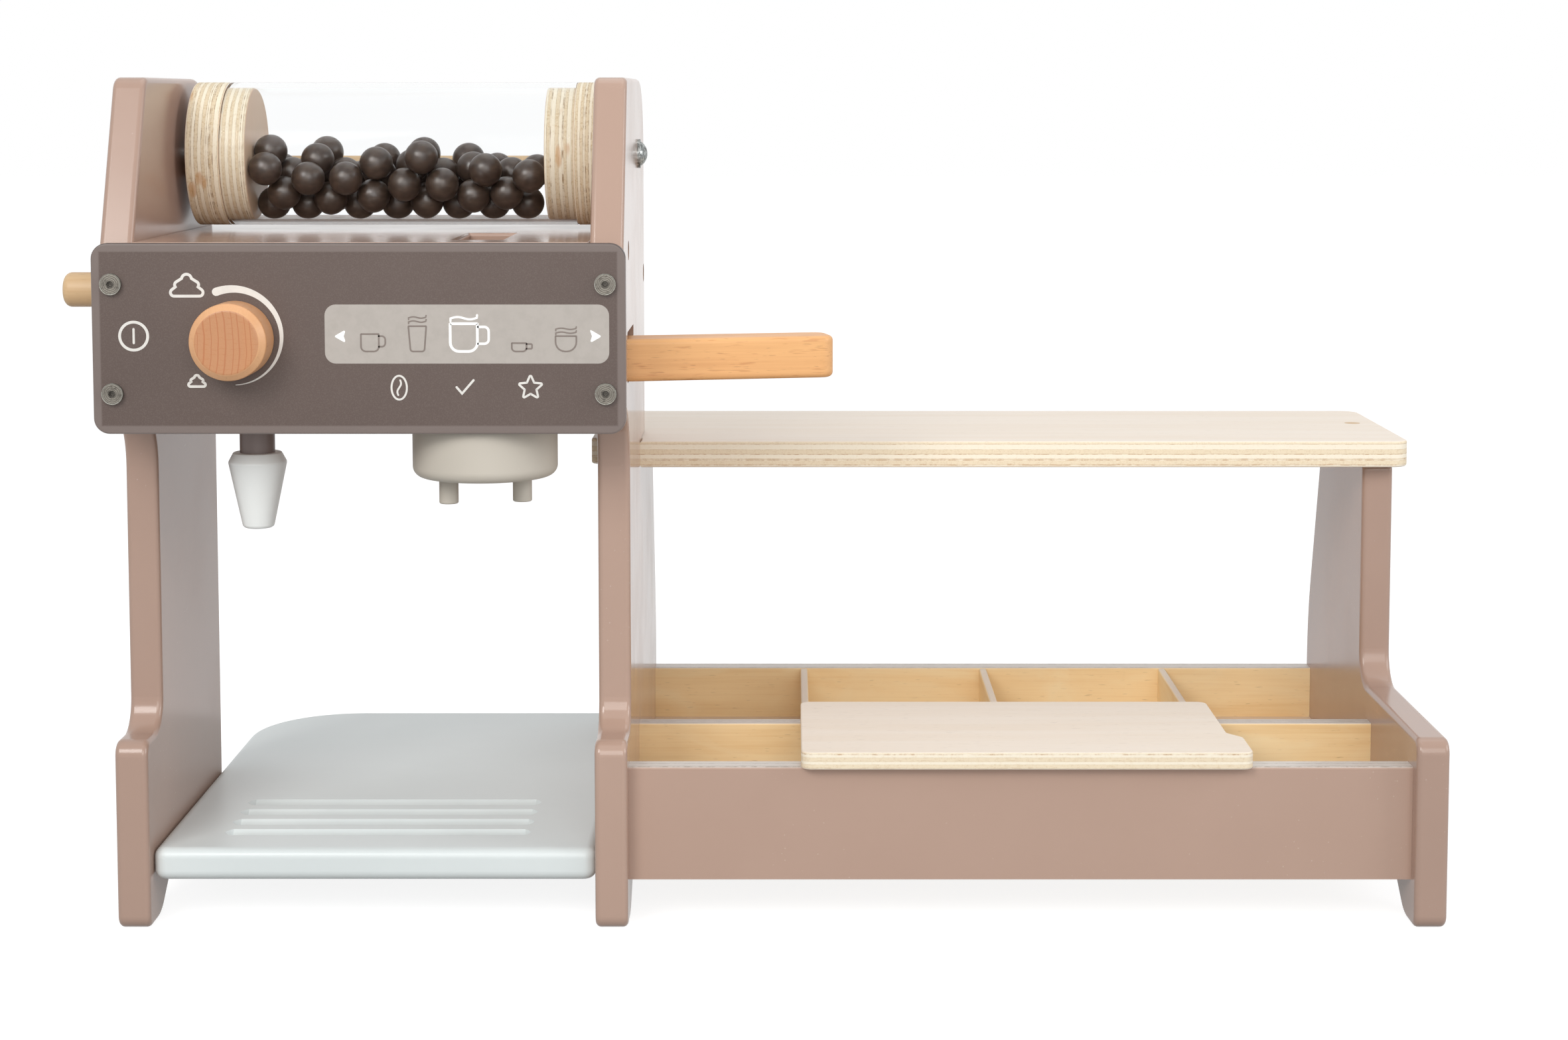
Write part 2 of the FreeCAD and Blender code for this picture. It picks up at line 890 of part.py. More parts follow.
def make_spouts():
    """Two short dowels under the cup, one node."""
    length = "spout_out + spout_bite"
    group = doc.addObject("Part::Compound", "brew_spouts")
    group.Label = "brew_spouts"
    dowels = []
    for side in (-1, 1):
        dowel = doc.addObject("Part::Cylinder", "Spout")
        bind(dowel, "Radius", "spout_radius")
        bind(dowel, "Height", length)
        bind(dowel, "Placement.Base.x", f"{side} * spout_offset")
        doc.recompute()
        rounded = doc.addObject("Part::Fillet", "SpoutEnd")
        rounded.Base = dowel
        size = value("spout_round")
        low = at_level(2, "0")
        rounded.Edges = [
            (n, size, size) for n, edge in enumerate(dowel.Shape.Edges, start=1) if low(edge)
        ]
        dowels.append(rounded)
    group.Links = dowels
    subparts.append(group)
    swung(group, "pivot_x", "pivot_y", "cup_base - spout_out")


def make_lever():
    """A flat beech bar with rounded ends, held by the pivot dowel near its tail."""
    body = new_body("brew_lever")
    sketch = new_sketch(body, "XY_Plane")
    corners = [
        ("0 - lever_tail", "0 - lever_width / 2"),
        ("lever_reach", "0 - lever_width / 2"),
        ("lever_reach", "lever_width / 2"),
        ("0 - lever_tail", "lever_width / 2"),
    ]
    polygon(sketch, corners)
    pad(body, sketch, "lever_thick")
    round_edges(body, "lever_corner", along(2, *corners))
    round_edges(body, "lever_round", at_level(2, "0", "lever_thick"))
    hole = ("0", "0", "pivot_radius + fit_gap")
    carve_circles(body, "XY_Plane", "lever_thick", "2 * lever_thick", [hole])
    swung(body, "pivot_x", "pivot_y", "lever_base")


def make_pivot_dowel():
    body = turned("lever_pivot_dowel", rectangle("pivot_radius", "lever_top - dowel_base"))
    place(body, "pivot_x", "pivot_y", "dowel_base")


# Bean drum: it turns about the X axis on two pins


def make_drum_tube():
    """The clear tube between the two outer discs."""
    outline = [
        ("tube_bore", "0"),
        ("tube_radius", "0"),
        ("tube_radius", "tube_length"),
        ("tube_bore", "tube_length"),
    ]
    body = turned("drum_tube", outline)
    place(body, "tube_x", "drum_y", "drum_height", *TO_RIGHT)


def make_drum_discs():
    """Plywood discs: an outer one at each end, bored for its pin, and one inside the tube."""
    ends = (
        ("left", "left_disc_thick", "drum_x", TO_RIGHT, "tube_x", "left_inner_thick"),
        (
            "right",
            "right_disc_thick",
            "middle_x - drum_right_gap",
            TO_LEFT,
            "tube_x + tube_length",
            "right_inner_thick",
        ),
    )
    bore = "axle_radius + fit_gap"
    depth = "axle_bite + seat_gap"
    inner_radius = "tube_bore - fit_gap"
    for side, thick, outer_x, facing, inner_x, inner_thick in ends:
        outline = [
            (bore, "0"),
            ("tube_radius", "0"),
            ("tube_radius", thick),
            ("0", thick),
            ("0", depth),
            (bore, depth),
        ]
        edges = [("tube_radius", "0"), ("tube_radius", thick)]
        outer = turned(f"drum_{side}_outer_disc", outline, [("disc_round", *edges)])
        place(outer, outer_x, "drum_y", "drum_height", *facing)
        inner = turned(
            f"drum_{side}_inner_disc",
            rectangle(inner_radius, inner_thick),
            [("disc_round", (inner_radius, inner_thick))],
        )
        place(inner, inner_x, "drum_y", "drum_height", *facing)


def group_of(label, items):
    """Like pieces as one node, each a solid of its own."""
    group = doc.addObject("Part::Compound", label)
    group.Label = label
    group.Links = items
    subparts.append(group)


def rod(radius, length, x, y, z, facing):
    """A plain cylinder as a piece of a group."""
    item = doc.addObject("Part::Cylinder", "Rod")
    bind(item, "Radius", radius)
    bind(item, "Height", length)
    place(item, x, y, z, *facing)
    return item


def make_axle_parts():
    """A pin, an outer washer and a domed cap for each end of the drum, with inner washers."""
    pins = []
    washers = []
    caps = []
    ends = (
        ("left_x", "bay_x", "drum_left_gap", TO_RIGHT, TO_LEFT),
        ("rack_x", "middle_x", "drum_right_gap", TO_LEFT, TO_RIGHT),
    )
    middle = ("drum_y", "drum_height")
    for outer, inner, gap, inward, outward in ends:
        start = behind(inward, outer, "drum_y", "washer_thick + cap_height / 2")
        length = f"cap_height / 2 + washer_thick + panel_thick + {gap} + axle_bite"
        pins.append(rod("axle_radius", length, *start, "drum_height", inward))
        for face, thick, facing in (
            (outer, "washer_thick", outward),
            (inner, f"{gap} - seat_gap", inward),
        ):
            disc = rod("washer_radius", thick, face, *middle, facing)
            hole = rod("axle_radius + fit_gap", thick, face, *middle, facing)
            washer = doc.addObject("Part::Cut", "Washer")
            washer.Base = disc
            washer.Tool = hole
            washers.append(washer)
        caps.append(make_cap(behind(inward, outer, "drum_y", "washer_thick")[0], outward))
    group_of("drum_axle_pins", pins)
    group_of("axle_washers", washers)
    group_of("axle_caps", caps)


def make_cap(x, facing):
    """A push-on cap: a dome with a round socket for the end of the pin."""
    dome = doc.addObject("Part::Sphere", "Dome")
    bind(dome, "Radius", "(cap_radius ^ 2 + cap_height ^ 2) / (2 * cap_height)")
    depth = "(cap_radius ^ 2 - cap_height ^ 2) / (2 * cap_height)"
    place(dome, *behind(facing, x, "drum_y", depth), "drum_height", *facing)
    body = rod("cap_radius + cap_wall", "cap_height", x, "drum_y", "drum_height", facing)
    socket = rod(
        "axle_radius + fit_gap",
        "cap_height / 2 + fit_gap",
        x,
        "drum_y",
        "drum_height",
        facing,
    )
    solid = doc.addObject("Part::Common", "CapDome")
    solid.Base = dome
    solid.Tool = body
    cap = doc.addObject("Part::Cut", "Cap")
    cap.Base = solid
    cap.Tool = socket
    return cap


# Beads: each one comes to rest in the lowest free seat near a spot that wanders along the drum
# A bead rolls at most its window, in radii, and looks for a seat in steps along and across

BEAD_WINDOW = 2.2
STEPS_ALONG = 8
STEPS_ACROSS = 12
TOUCHING = 1e-6


def bead_seat(x, y, radius, bore, laid):
    """The lowest height at which a bead can lie at x and y, from the drum's axis."""
    free = bore - radius
    if abs(y) >= free:
        return None
    height = -math.sqrt(free * free - y * y)
    reach = 2 * radius
    for _ in range(len(laid) + 1):
        blocked = [
            z + math.sqrt(reach * reach - (x - a) ** 2 - (y - b) ** 2)
            for a, b, z in laid
            if (x - a) ** 2 + (y - b) ** 2 < reach * reach
            and (x - a) ** 2 + (y - b) ** 2 + (height - z) ** 2 < reach * reach - TOUCHING
        ]
        if not blocked:
            break
        height = max(blocked)
    return height if math.hypot(y, height) <= free else None


def bead_places():
    """Where each bead lies: along the drum from its left inner disc, across and up."""
    radius = value("bead_radius + fit_gap")
    bore = value("tube_bore - fit_gap")
    length = value("tube_length - left_inner_thick - right_inner_thick")
    golden = (math.sqrt(5) - 1) / 2
    laid = []
    for number in range(int(value("bead_count"))):
        aim = radius + (length - 2 * radius) * ((number * golden) % 1)
        best = None
        for step_x in range(-STEPS_ALONG, STEPS_ALONG + 1):
            shift = BEAD_WINDOW * radius * step_x / STEPS_ALONG
            x = min(max(aim + shift, radius), length - radius)
            for step_y in range(-STEPS_ACROSS, STEPS_ACROSS + 1):
                y = (bore - radius) * step_y / (STEPS_ACROSS + 0.5)
                height = bead_seat(x, y, radius, bore, laid)
                if height is None:
                    continue
                if best is None or height < best[2] - TOUCHING:
                    best = (x, y, height)
        if best is not None:
            laid.append(best)
    return laid


def make_beads():
    """Loose wooden beads in the drum, as one node of separate balls."""
    beads = []
    start_x = value("tube_x + left_inner_thick")
    start = Vector(start_x, value("drum_y"), value("drum_height"))
    for x, y, z in bead_places():
        bead = doc.addObject("Part::Sphere", "Bead")
        bind(bead, "Radius", "bead_radius")
        bead.Placement = Placement(start + Vector(x, y, z), Rotation())
        beads.append(bead)
    group_of("coffee_beads", beads)


# Shelf


def make_shelf():
    """A plywood shelf; its left end is a tongue that passes through the middle panel."""
    body = new_body("shelf_board")
    sketch = new_sketch(body, "XY_Plane")
    tongue = "0 - panel_thick - tongue_out"
    corners = [
        ("0", "0"),
        ("shelf_length", "0"),
        ("shelf_length", "shelf_depth"),
        (tongue, "shelf_depth"),
        (tongue, "tongue_set"),
        ("0", "tongue_set"),
    ]
    polygon(sketch, corners)
    pad(body, sketch, "shelf_thick")
    round_edges(body, "shelf_corner", along(2, corners[1], corners[2]))
    round_edges(body, "seat_round", along(2, corners[3], corners[4]))
    round_edges(body, "shelf_round", at_level(2, "0", "shelf_thick"))
    spot = ("rack_width + panel_thick / 2", "plug_set - shelf_front")
    carve_circles(
        body, "XY_Plane", "shelf_thick", "2 * shelf_thick", [(*spot, "screw_radius + fit_gap")]
    )
    carve_circles(
        body,
        "XY_Plane",
        "shelf_thick",
        "plug_depth + screw_head_height",
        [(*spot, "plug_radius + fit_gap")],
    )
    place(body, "rack_x", "shelf_y", "shelf_under")


def make_shelf_fixing():
    """The screw from the shelf into the right panel, and the plug over it."""
    spot = ("right_x + panel_thick / 2", "foot_y + plug_set")
    seat = "shelf_top - plug_depth - screw_head_height"
    length = "screw_length - panel_thick"
    outline = [
        ("0", "0 - (" + length + ")"),
        ("screw_radius", "0 - (" + length + ")"),
        ("screw_radius", "0"),
        ("plug_radius - fit_gap", "0"),
        ("plug_radius - fit_gap", "screw_head_height"),
        ("0", "screw_head_height"),
    ]
    screw = turned("shelf_screw", outline)
    place(screw, *spot, seat)
    plug = turned("shelf_plug", rectangle("plug_radius", "plug_depth"))
    place(plug, *spot, "shelf_top - plug_depth")


# Drip tray


def make_tray():
    """A painted board with grooves and soft edges; its back left corner is one large round."""
    body = new_body("drip_tray")
    sketch = new_sketch(body, "XY_Plane")
    polygon(sketch, rectangle("bay_width", "tray_depth"))
    pad(body, sketch, "tray_thick")
    round_edges(body, "tray_corner", along(2, ("0", "tray_depth")))
    round_edges(body, "tray_front_corner", along(2, ("0", "0"), ("bay_width", "0")))
    round_edges(body, "tray_round", at_level(2, "0", "tray_thick"))
    cut_grooves(body)
    screws = [
        (f"{name} - tray_front", "tray_thick / 2", "screw_radius + fit_gap")
        for name in ("tray_screw_first", "tray_screw_second")
    ]
    depth = "screw_length - panel_thick + screw_sink"
    carve_circles(body, "YZ_Plane", "0", depth, screws, forward=True)
    place(body, "bay_x", "tray_y", "tray_under")


def cut_grooves(body):
    """Grooves along X with a round bottom and tapered ends, each turned about its long side."""
    ball = "groove_radius"
    rise = "tray_thick - groove_depth + groove_radius"
    sketch = new_sketch(body, "XZ_Plane", "tray_front - groove_first")
    left = "groove_inset"
    right = "groove_inset + groove_length"
    polygon(
        sketch,
        [
            (left, rise),
            (left + " + " + ball, f"{rise} - {ball}"),
            (right + " - " + ball, f"{rise} - {ball}"),
            (right, rise),
        ],
    )
    before = body.Shape.Volume
    groove = body.newObject("PartDesign::Groove", "Groove")
    groove.Profile = sketch
    groove.ReferenceAxis = (sketch, ["Edge4"])
    groove.Angle = FULL_TURN
    doc.recompute()
    pattern = body.newObject("PartDesign::LinearPattern", "Grooves")
    pattern.Originals = [groove]
    pattern.Direction = (origin_item(body, "Y_Axis"), [""])
    bind(pattern, "Length", "groove_pitch * (groove_count - 1)")
    bind(pattern, "Occurrences", "groove_count")
    body.Tip = pattern
    doc.recompute()
    if body.Shape.Volume >= before:
        raise ValueError("the grooves remove nothing")


# Rack


def make_rack_boards():
    """The front, middle and back boards, with rounded top edges."""
    rows = (
        ("rack_front_board", "rack_board", "rack_top", "rack_y"),
        ("rack_middle_board", "middle_thick", "middle_top", "middle_y"),
        ("rack_back_board", "rack_board", "back_top", "back_y"),
    )
    for label, thick, top, y in rows:
        height = top + " - tray_under"
        lengthwise = along(0, ("0", height), (thick, height))
        body = board(label, "rack_width", thick, height, "rack_round", lengthwise)
        bore_ends(body, "rack_width", [(thick + " / 2", "rack_screw_height - tray_under")])
        place(body, "rack_x", y, "tray_under")


def make_rack_floor():
    """The floor between the front and back boards, in two strips beside the middle board."""
    strips = (
        ("rack_front_floor", "rack_inner_y", "middle_y"),
        ("rack_rear_floor", "middle_y + middle_thick", "back_y"),
    )
    for label, start, end in strips:
        body = board(label, "rack_width", f"{end} - ({start})", "rack_floor_thick")
        place(body, "rack_x", start, "rack_floor_base")


def make_dividers():
    """Thin boards across the rear row, evenly spaced about its middle."""
    count = int(value("divider_count"))
    top = "back_top - divider_drop - rack_floor_top"
    depth = "back_y - middle_y - middle_thick"
    for number in range(count):
        lengthwise = along(1, ("0", top), ("divider_thick", top))
        body = board(
            f"rack_divider_{number + 1}",
            "divider_thick",
            depth,
            top,
            "divider_round",
            lengthwise,
        )
        steps = number - (count - 1) / 2
        middle = f"rack_x + rack_width / 2 + {steps} * divider_pitch"
        place(body, middle + " - divider_thick / 2", "middle_y + middle_thick", "rack_floor_top")


def make_lid():
    """A loose plywood lid over part of the front row, with a lug at its front right."""
    body = new_body("rack_lid")
    sketch = new_sketch(body, "XY_Plane")
    corners = [
        ("0", "0"),
        ("lid_width + lid_lug", "0"),
        ("lid_width + lid_lug", "lug_depth"),
        ("lid_width", "lug_depth + lug_run"),
        ("lid_width", "lid_depth"),
        ("0", "lid_depth"),
    ]
    polygon(sketch, corners)
    pad(body, sketch, "lid_thick")
    outer = (corners[0], corners[1], corners[4], corners[5])
    round_edges(body, "lid_corner", along(2, *outer))
    round_edges(body, "lug_round", along(2, corners[2], corners[3]))
    round_edges(body, "lid_round", at_level(2, "0", "lid_thick"))
    place(body, "rack_x + lid_inset", "foot_y + lid_front", "rack_top + lid_gap")


# Screws

RECESS_SIDES = 6


def screw(x, y, z, facing, sizes_of):
    """A screw whose head sits on the given point and whose shank runs along the facing."""
    head_radius, head_height, shank_radius, shank_length, recess_radius, recess_depth = sizes_of
    top = behind(facing, x, y, head_height)
    head = rod(head_radius, head_height, *top, z, facing)
    shank = rod(shank_radius, f"{head_height} + {shank_length}", *top, z, facing)
    recess = doc.addObject("Part::Prism", "Recess")
    recess.Polygon = RECESS_SIDES
    bind(recess, "Circumradius", recess_radius)
    bind(recess, "Height", recess_depth)
    place(recess, *top, z, *facing)
    whole = doc.addObject("Part::Fuse", "Whole")
    whole.Base = head
    whole.Tool = shank
    item = doc.addObject("Part::Cut", "Screw")
    item.Base = whole
    item.Tool = recess
    return item


SIDE_SCREW = (
    "screw_head_radius",
    "screw_head_height",
    "screw_radius",
    "screw_length - screw_head_height",
    "screw_recess_radius",
    "screw_recess_depth",
)
COVER_SCREW = (
    "cover_head_radius",
    "cover_head_height",
    "cover_shank_radius",
    "cover_shank_length + cover_thick - seat_gap",
    "driver_radius",
    "driver_depth",
)


def side_screws(spots, face, facing):
    """Screws through a panel, their heads on the floor of the sunk seats."""
    towards = "+" if facing is TO_RIGHT else "-"
    seat = f"{face} {towards} screw_sink"
    return [screw(seat, f"head_y + {y}", z, facing, SIDE_SCREW) for y, z in spots]


def make_screws():
    head = side_screws(HEAD_SCREWS, "left_x", TO_RIGHT)
    head += side_screws(HEAD_SCREWS, "rack_x", TO_LEFT)
    group_of("head_screws", head)
    rack = side_screws(RACK_SCREWS, "middle_x", TO_RIGHT)
    rack += side_screws(RACK_SCREWS, "end_x", TO_LEFT)
    group_of("rack_screws", rack)
    group_of("tray_screws", side_screws(TRAY_SCREWS, "left_x", TO_RIGHT))
    cover = [
        screw(f"{panel_x} + panel_thick / 2", "cover_y", z, TO_BACK, COVER_SCREW)
        for panel_x in ("left_x", "middle_x")
        for z in COVER_SCREW_HEIGHTS
    ]
    group_of("cover_screws", cover)


# Building, checking and writing


def check_model():
    """Stops if any object failed or any piece isn't a sound solid."""
    for item in doc.Objects:
        if "Invalid" in item.State or "Error" in item.State:
            raise ValueError(f"{item.Label} failed: {item.State}")
    for piece in subparts:
        shape = piece.Shape
        if shape.isNull() or not shape.isValid() or not shape.Solids:
            raise ValueError(f"{piece.Label} has no sound shape")


def main():
    make_left_panel()
    make_middle_panel()
    make_right_panel()
    make_head_top()
    make_head_bottom()
    make_head_back()
    make_rear_rail()
    make_cover()
    make_knob()
    make_knob_axle()
    make_side_peg()
    make_wand()
    make_nozzle()
    make_cup()
    make_spouts()
    make_lever()
    make_pivot_dowel()
    make_drum_tube()
    make_drum_discs()
    make_axle_parts()
    make_beads()
    make_shelf()
    make_shelf_fixing()
    make_tray()
    make_rack_boards()
    make_rack_floor()
    make_dividers()
    make_lid()
    make_screws()
    doc.recompute()
    check_model()
    os.makedirs(OUTPUT, exist_ok=True)
    for piece in subparts:
        piece.Shape.exportStep(os.path.join(OUTPUT, piece.Label + ".step"))
        box = piece.Shape.BoundBox
        print(
            f"{piece.Label:24s} {len(piece.Shape.Solids):3d} solids"
            f"  x {box.XMin:8.2f} {box.XMax:8.2f}  y {box.YMin:8.2f} {box.YMax:8.2f}"
            f"  z {box.ZMin:7.2f} {box.ZMax:7.2f}"
        )


main()
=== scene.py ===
import math

import bmesh
import bpy
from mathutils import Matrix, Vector


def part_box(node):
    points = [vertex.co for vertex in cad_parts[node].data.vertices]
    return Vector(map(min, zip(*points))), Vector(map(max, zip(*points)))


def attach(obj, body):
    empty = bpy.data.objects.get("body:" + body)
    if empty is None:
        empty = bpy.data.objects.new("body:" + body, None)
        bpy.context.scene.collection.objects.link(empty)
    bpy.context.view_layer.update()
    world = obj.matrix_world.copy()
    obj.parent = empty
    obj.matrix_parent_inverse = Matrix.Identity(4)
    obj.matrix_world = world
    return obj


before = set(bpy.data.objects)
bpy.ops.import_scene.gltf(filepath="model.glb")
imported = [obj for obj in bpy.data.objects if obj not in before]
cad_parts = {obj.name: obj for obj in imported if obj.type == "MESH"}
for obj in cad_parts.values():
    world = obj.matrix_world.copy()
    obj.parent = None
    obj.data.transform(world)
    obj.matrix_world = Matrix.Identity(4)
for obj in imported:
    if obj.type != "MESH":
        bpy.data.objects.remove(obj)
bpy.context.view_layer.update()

MM = 0.001

# Screen colours, from 0 to 255: paint
CLAY = (180, 151, 135)
# A darker copy of the clay: painted shade for the side panels, which get less light.
CLAY_SHADED = (170, 142, 127)
ICE = (217, 224, 224)
CREAM = (192, 185, 173)
SNOW = (238, 240, 238)
PEWTER = (131, 117, 113)
DUST = (236, 226, 218)

# Frosted sheet and print
SMOKE = (86, 71, 65)
# Painted light on the cover: a paler rim, painted shade on the upper bevel and a painted highlight
# on the other bevels.
SMOKE_RIM_LIGHT = (122, 110, 105)
SMOKE_BEVEL_SHADE = (60, 52, 50)
SMOKE_BEVEL_HIGHLIGHT = (138, 128, 124)
SMOKE_CLOUD = (94, 80, 74)
PRINT = (226, 223, 217)
DISPLAY = (178, 171, 164)
PICTO = (128, 117, 110)
WHITE = (255, 255, 253)

# Beech
BEECH = (237, 181, 121)
BEECH_DARK = (200, 134, 82)
BEECH_FLECK = (180, 112, 62)
PEG = (213, 183, 142)
PEG_DARK = (194, 153, 107)
KNOB_FACE = (190, 136, 96)
KNOB_SIDE = (216, 161, 114)
KNOB_RING = (172, 100, 58)
KNOB_RAY = (182, 110, 66)
KNOB_PORE = (178, 116, 74)
# A painted highlight for the knob's chamfer.
KNOB_CHAMFER_HIGHLIGHT = (236, 190, 146)

# Birch plywood
BIRCH = (242, 230, 216)
BIRCH_WARM = (231, 211, 186)
PLY_LIGHT = (248, 238, 218)
PLY_DARK = (238, 222, 194)
PLY_ROUGH = (224, 204, 172)
PLY_GLUE = (196, 158, 118)
DISC_LIGHT = (238, 228, 206)
DISC_DARK = (222, 206, 177)
DISC_ROUGH = (200, 174, 134)
DISC_GLUE = (158, 130, 98)
PEACH = (222, 190, 160)
KNOT = (196, 146, 92)
BARE_EDGE = (212, 204, 196)
BARE_DARK = (203, 194, 185)
BARE_ROUGH = (194, 183, 172)
BARE_LINE = (160, 146, 133)
HONEY = (245, 217, 168)
HONEY_DARK = (224, 182, 122)
HONEY_PALE = (246, 226, 184)
HONEY_TOP = (228, 214, 202)

# Beads and metal
COCOA = (56, 44, 37)
COCOA_LIGHT = (74, 60, 50)
COCOA_DOT = (128, 112, 100)
ZINC = (150, 148, 143)
ZINC_BRIGHT = (196, 200, 198)
HEAD_DARK = (104, 99, 92)
HEAD_LIGHT = (146, 143, 134)
HEAD_WORN = (58, 54, 50)
# Painted shade for the screw recess and a painted highlight for the rim.
HEAD_RECESS_SHADE = (50, 47, 44)
HEAD_RIM_HIGHLIGHT = (146, 146, 139)


def linear(colour):
    """A screen colour as the linear one that a shader takes."""
    channels = [c / 255 for c in colour]
    return tuple(
        c / 12.92 if c <= 0.04045 else ((c + 0.055) / 1.055) ** 2.4 for c in channels
    ) + (1.0,)


def shade(colour, factor):
    """The same screen colour, darker."""
    return tuple(int(c * factor) for c in colour)


def lighter(colour):
    """The same screen colour, slightly lighter."""
    return tuple(min(255, c + 8) for c in colour)


# Shader building


class Shader:
    """A node tree with short calls; each call returns an output socket."""

    def __init__(self, name):
        self.material = bpy.data.materials.new(name)
        self.material.use_nodes = True
        self.tree = self.material.node_tree
        self.tree.nodes.clear()
        self.surface = self.node("ShaderNodeBsdfPrincipled")
        output = self.node("ShaderNodeOutputMaterial")
        self.tree.links.new(self.surface.outputs["BSDF"], output.inputs["Surface"])
        self.output = output
        coordinates = self.node("ShaderNodeTexCoord")
        self.place = coordinates.outputs["Object"]
        self.normal = coordinates.outputs["Normal"]

    def node(self, kind, **settings):
        made = self.tree.nodes.new(kind)
        for key, setting in settings.items():
            setattr(made, key, setting)
        return made

    def feed(self, socket, content):
        if isinstance(content, bpy.types.NodeSocket):
            self.tree.links.new(content, socket)
        elif content is not None:
            socket.default_value = content

    def math(self, operation, *terms):
        made = self.node("ShaderNodeMath", operation=operation)
        for socket, term in zip(made.inputs, terms):
            self.feed(socket, term)
        return made.outputs[0]

    def scaled(self, factors, vector=None, offset=(0, 0, 0), turn=(0, 0, 0)):
        """The object's coordinates moved, turned and scaled."""
        made = self.node("ShaderNodeMapping", vector_type="POINT")
        self.feed(made.inputs["Vector"], vector or self.place)
        made.inputs["Location"].default_value = offset
        made.inputs["Rotation"].default_value = turn
        made.inputs["Scale"].default_value = factors
        return made.outputs[0]

    def split(self, vector=None):
        made = self.node("ShaderNodeSeparateXYZ")
        self.feed(made.inputs[0], vector or self.place)
        return made.outputs

    def join(self, x, y, z):
        made = self.node("ShaderNodeCombineXYZ")
        for socket, content in zip(made.inputs, (x, y, z)):
            self.feed(socket, content)
        return made.outputs[0]

    def noise(self, scale, detail=2.0, roughness=0.5, vector=None, distortion=0.0):
        made = self.node("ShaderNodeTexNoise")
        self.feed(made.inputs["Vector"], vector or self.place)
        made.inputs["Scale"].default_value = scale
        made.inputs["Detail"].default_value = detail
        made.inputs["Roughness"].default_value = roughness
        made.inputs["Distortion"].default_value = distortion
        return made.outputs["Fac"]

    def specks(self, scale, low, high, vector=None):
        """1 in small round spots and 0 between them."""
        made = self.node("ShaderNodeTexVoronoi", feature="F1")
        self.feed(made.inputs["Vector"], vector or self.place)
        made.inputs["Scale"].default_value = scale
        return self.fade(made.outputs["Distance"], high, low)

    def fade(self, content, low, high, to_low=0.0, to_high=1.0):
        """Maps a range smoothly to another."""
        made = self.node("ShaderNodeMapRange", interpolation_type="SMOOTHSTEP")
        for index, term in enumerate((content, low, high, to_low, to_high)):
            self.feed(made.inputs[index], term)
        return made.outputs[0]

    def line(self, content, low, high, top):
        """Maps a range to 0 up to top, without easing."""
        made = self.node("ShaderNodeMapRange", interpolation_type="LINEAR", clamp=False)
        for index, term in enumerate((content, low, high, 0.0, top)):
            self.feed(made.inputs[index], term)
        return made.outputs[0]

    def blend(self, amount, first, second):
        """Mixes two colours, each a socket or a screen colour."""
        made = self.node("ShaderNodeMix", data_type="RGBA", blend_type="MIX")
        self.feed(made.inputs["Factor"], amount)
        colours = [socket for socket in made.inputs if socket.type == "RGBA"]
        for socket, content in zip(colours, (first, second)):
            if isinstance(content, tuple) and len(content) == 3:
                content = linear(content)
            self.feed(socket, content)
        return next(socket for socket in made.outputs if socket.type == "RGBA")

    def bump(self, height, depth, strength, base=None):
        made = self.node("ShaderNodeBump")
        made.inputs["Strength"].default_value = strength
        made.inputs["Distance"].default_value = depth
        self.feed(made.inputs["Height"], height)
        if base is not None:
            self.feed(made.inputs["Normal"], base)
        return made.outputs[0]

    def finish(self, colour, roughness, bump=None, **sockets):
        self.feed(self.surface.inputs["Base Color"], colour)
        self.feed(self.surface.inputs["Roughness"], roughness)
        if bump is not None:
            self.feed(self.surface.inputs["Normal"], bump)
        for name, content in sockets.items():
            self.feed(self.surface.inputs[name.replace("_", " ")], content)
        return self.material


# Paint


def paint(shader, colour, spread=0.35, relief=0.22):
    """The colour and bump of a sprayed coat on board, with faint clouds and dust."""
    clouds = shader.fade(shader.noise(14, 3, 0.55), 0.3, 0.75)
    tint = shader.blend(shader.math("MULTIPLY", clouds, spread), colour, lighter(colour))
    dusty = shader.fade(shader.noise(23, 1), 0.52, 0.68)
    dust = shader.math("MULTIPLY", shader.specks(260, 0.06, 0.11), dusty)
    tint = shader.blend(shader.math("MULTIPLY", dust, 0.18), tint, DUST)
    ripple = shader.noise(520, 2, 0.6)
    grain = shader.noise(150, 3, 0.6)
    height = shader.math("ADD", shader.math("MULTIPLY", grain, 0.6), ripple)
    return tint, shader.bump(height, 0.00003, relief), clouds


def clay_paint(name, colour, roughness, relief):
    """The taupe coat of the boards; relief is the strength of its ripple."""
    shader = Shader(name)
    tint, bump, clouds = paint(shader, colour, relief=relief)
    return shader.finish(tint, shader.fade(clouds, 0, 1, roughness, roughness + 0.05), bump)


def pale_paint(name, colour, roughness):
    """The coat of the tray and of the turned pieces."""
    shader = Shader(name)
    tint, bump, clouds = paint(shader, colour, 0.8)
    return shader.finish(tint, shader.fade(clouds, 0, 1, roughness, roughness + 0.1), bump)


# Wood

LEVER_TURN = math.radians(-12)
RING_PITCH = 3.1 * MM
RAY_PITCH = 2.3 * MM


def grain_turn(axis):
    """The turn that lays an axis along the X of a grain pattern."""
    return {0: (0, 0, 0), 1: (0, 0, math.radians(90)), 2: (0, math.radians(90), 0)}[axis]


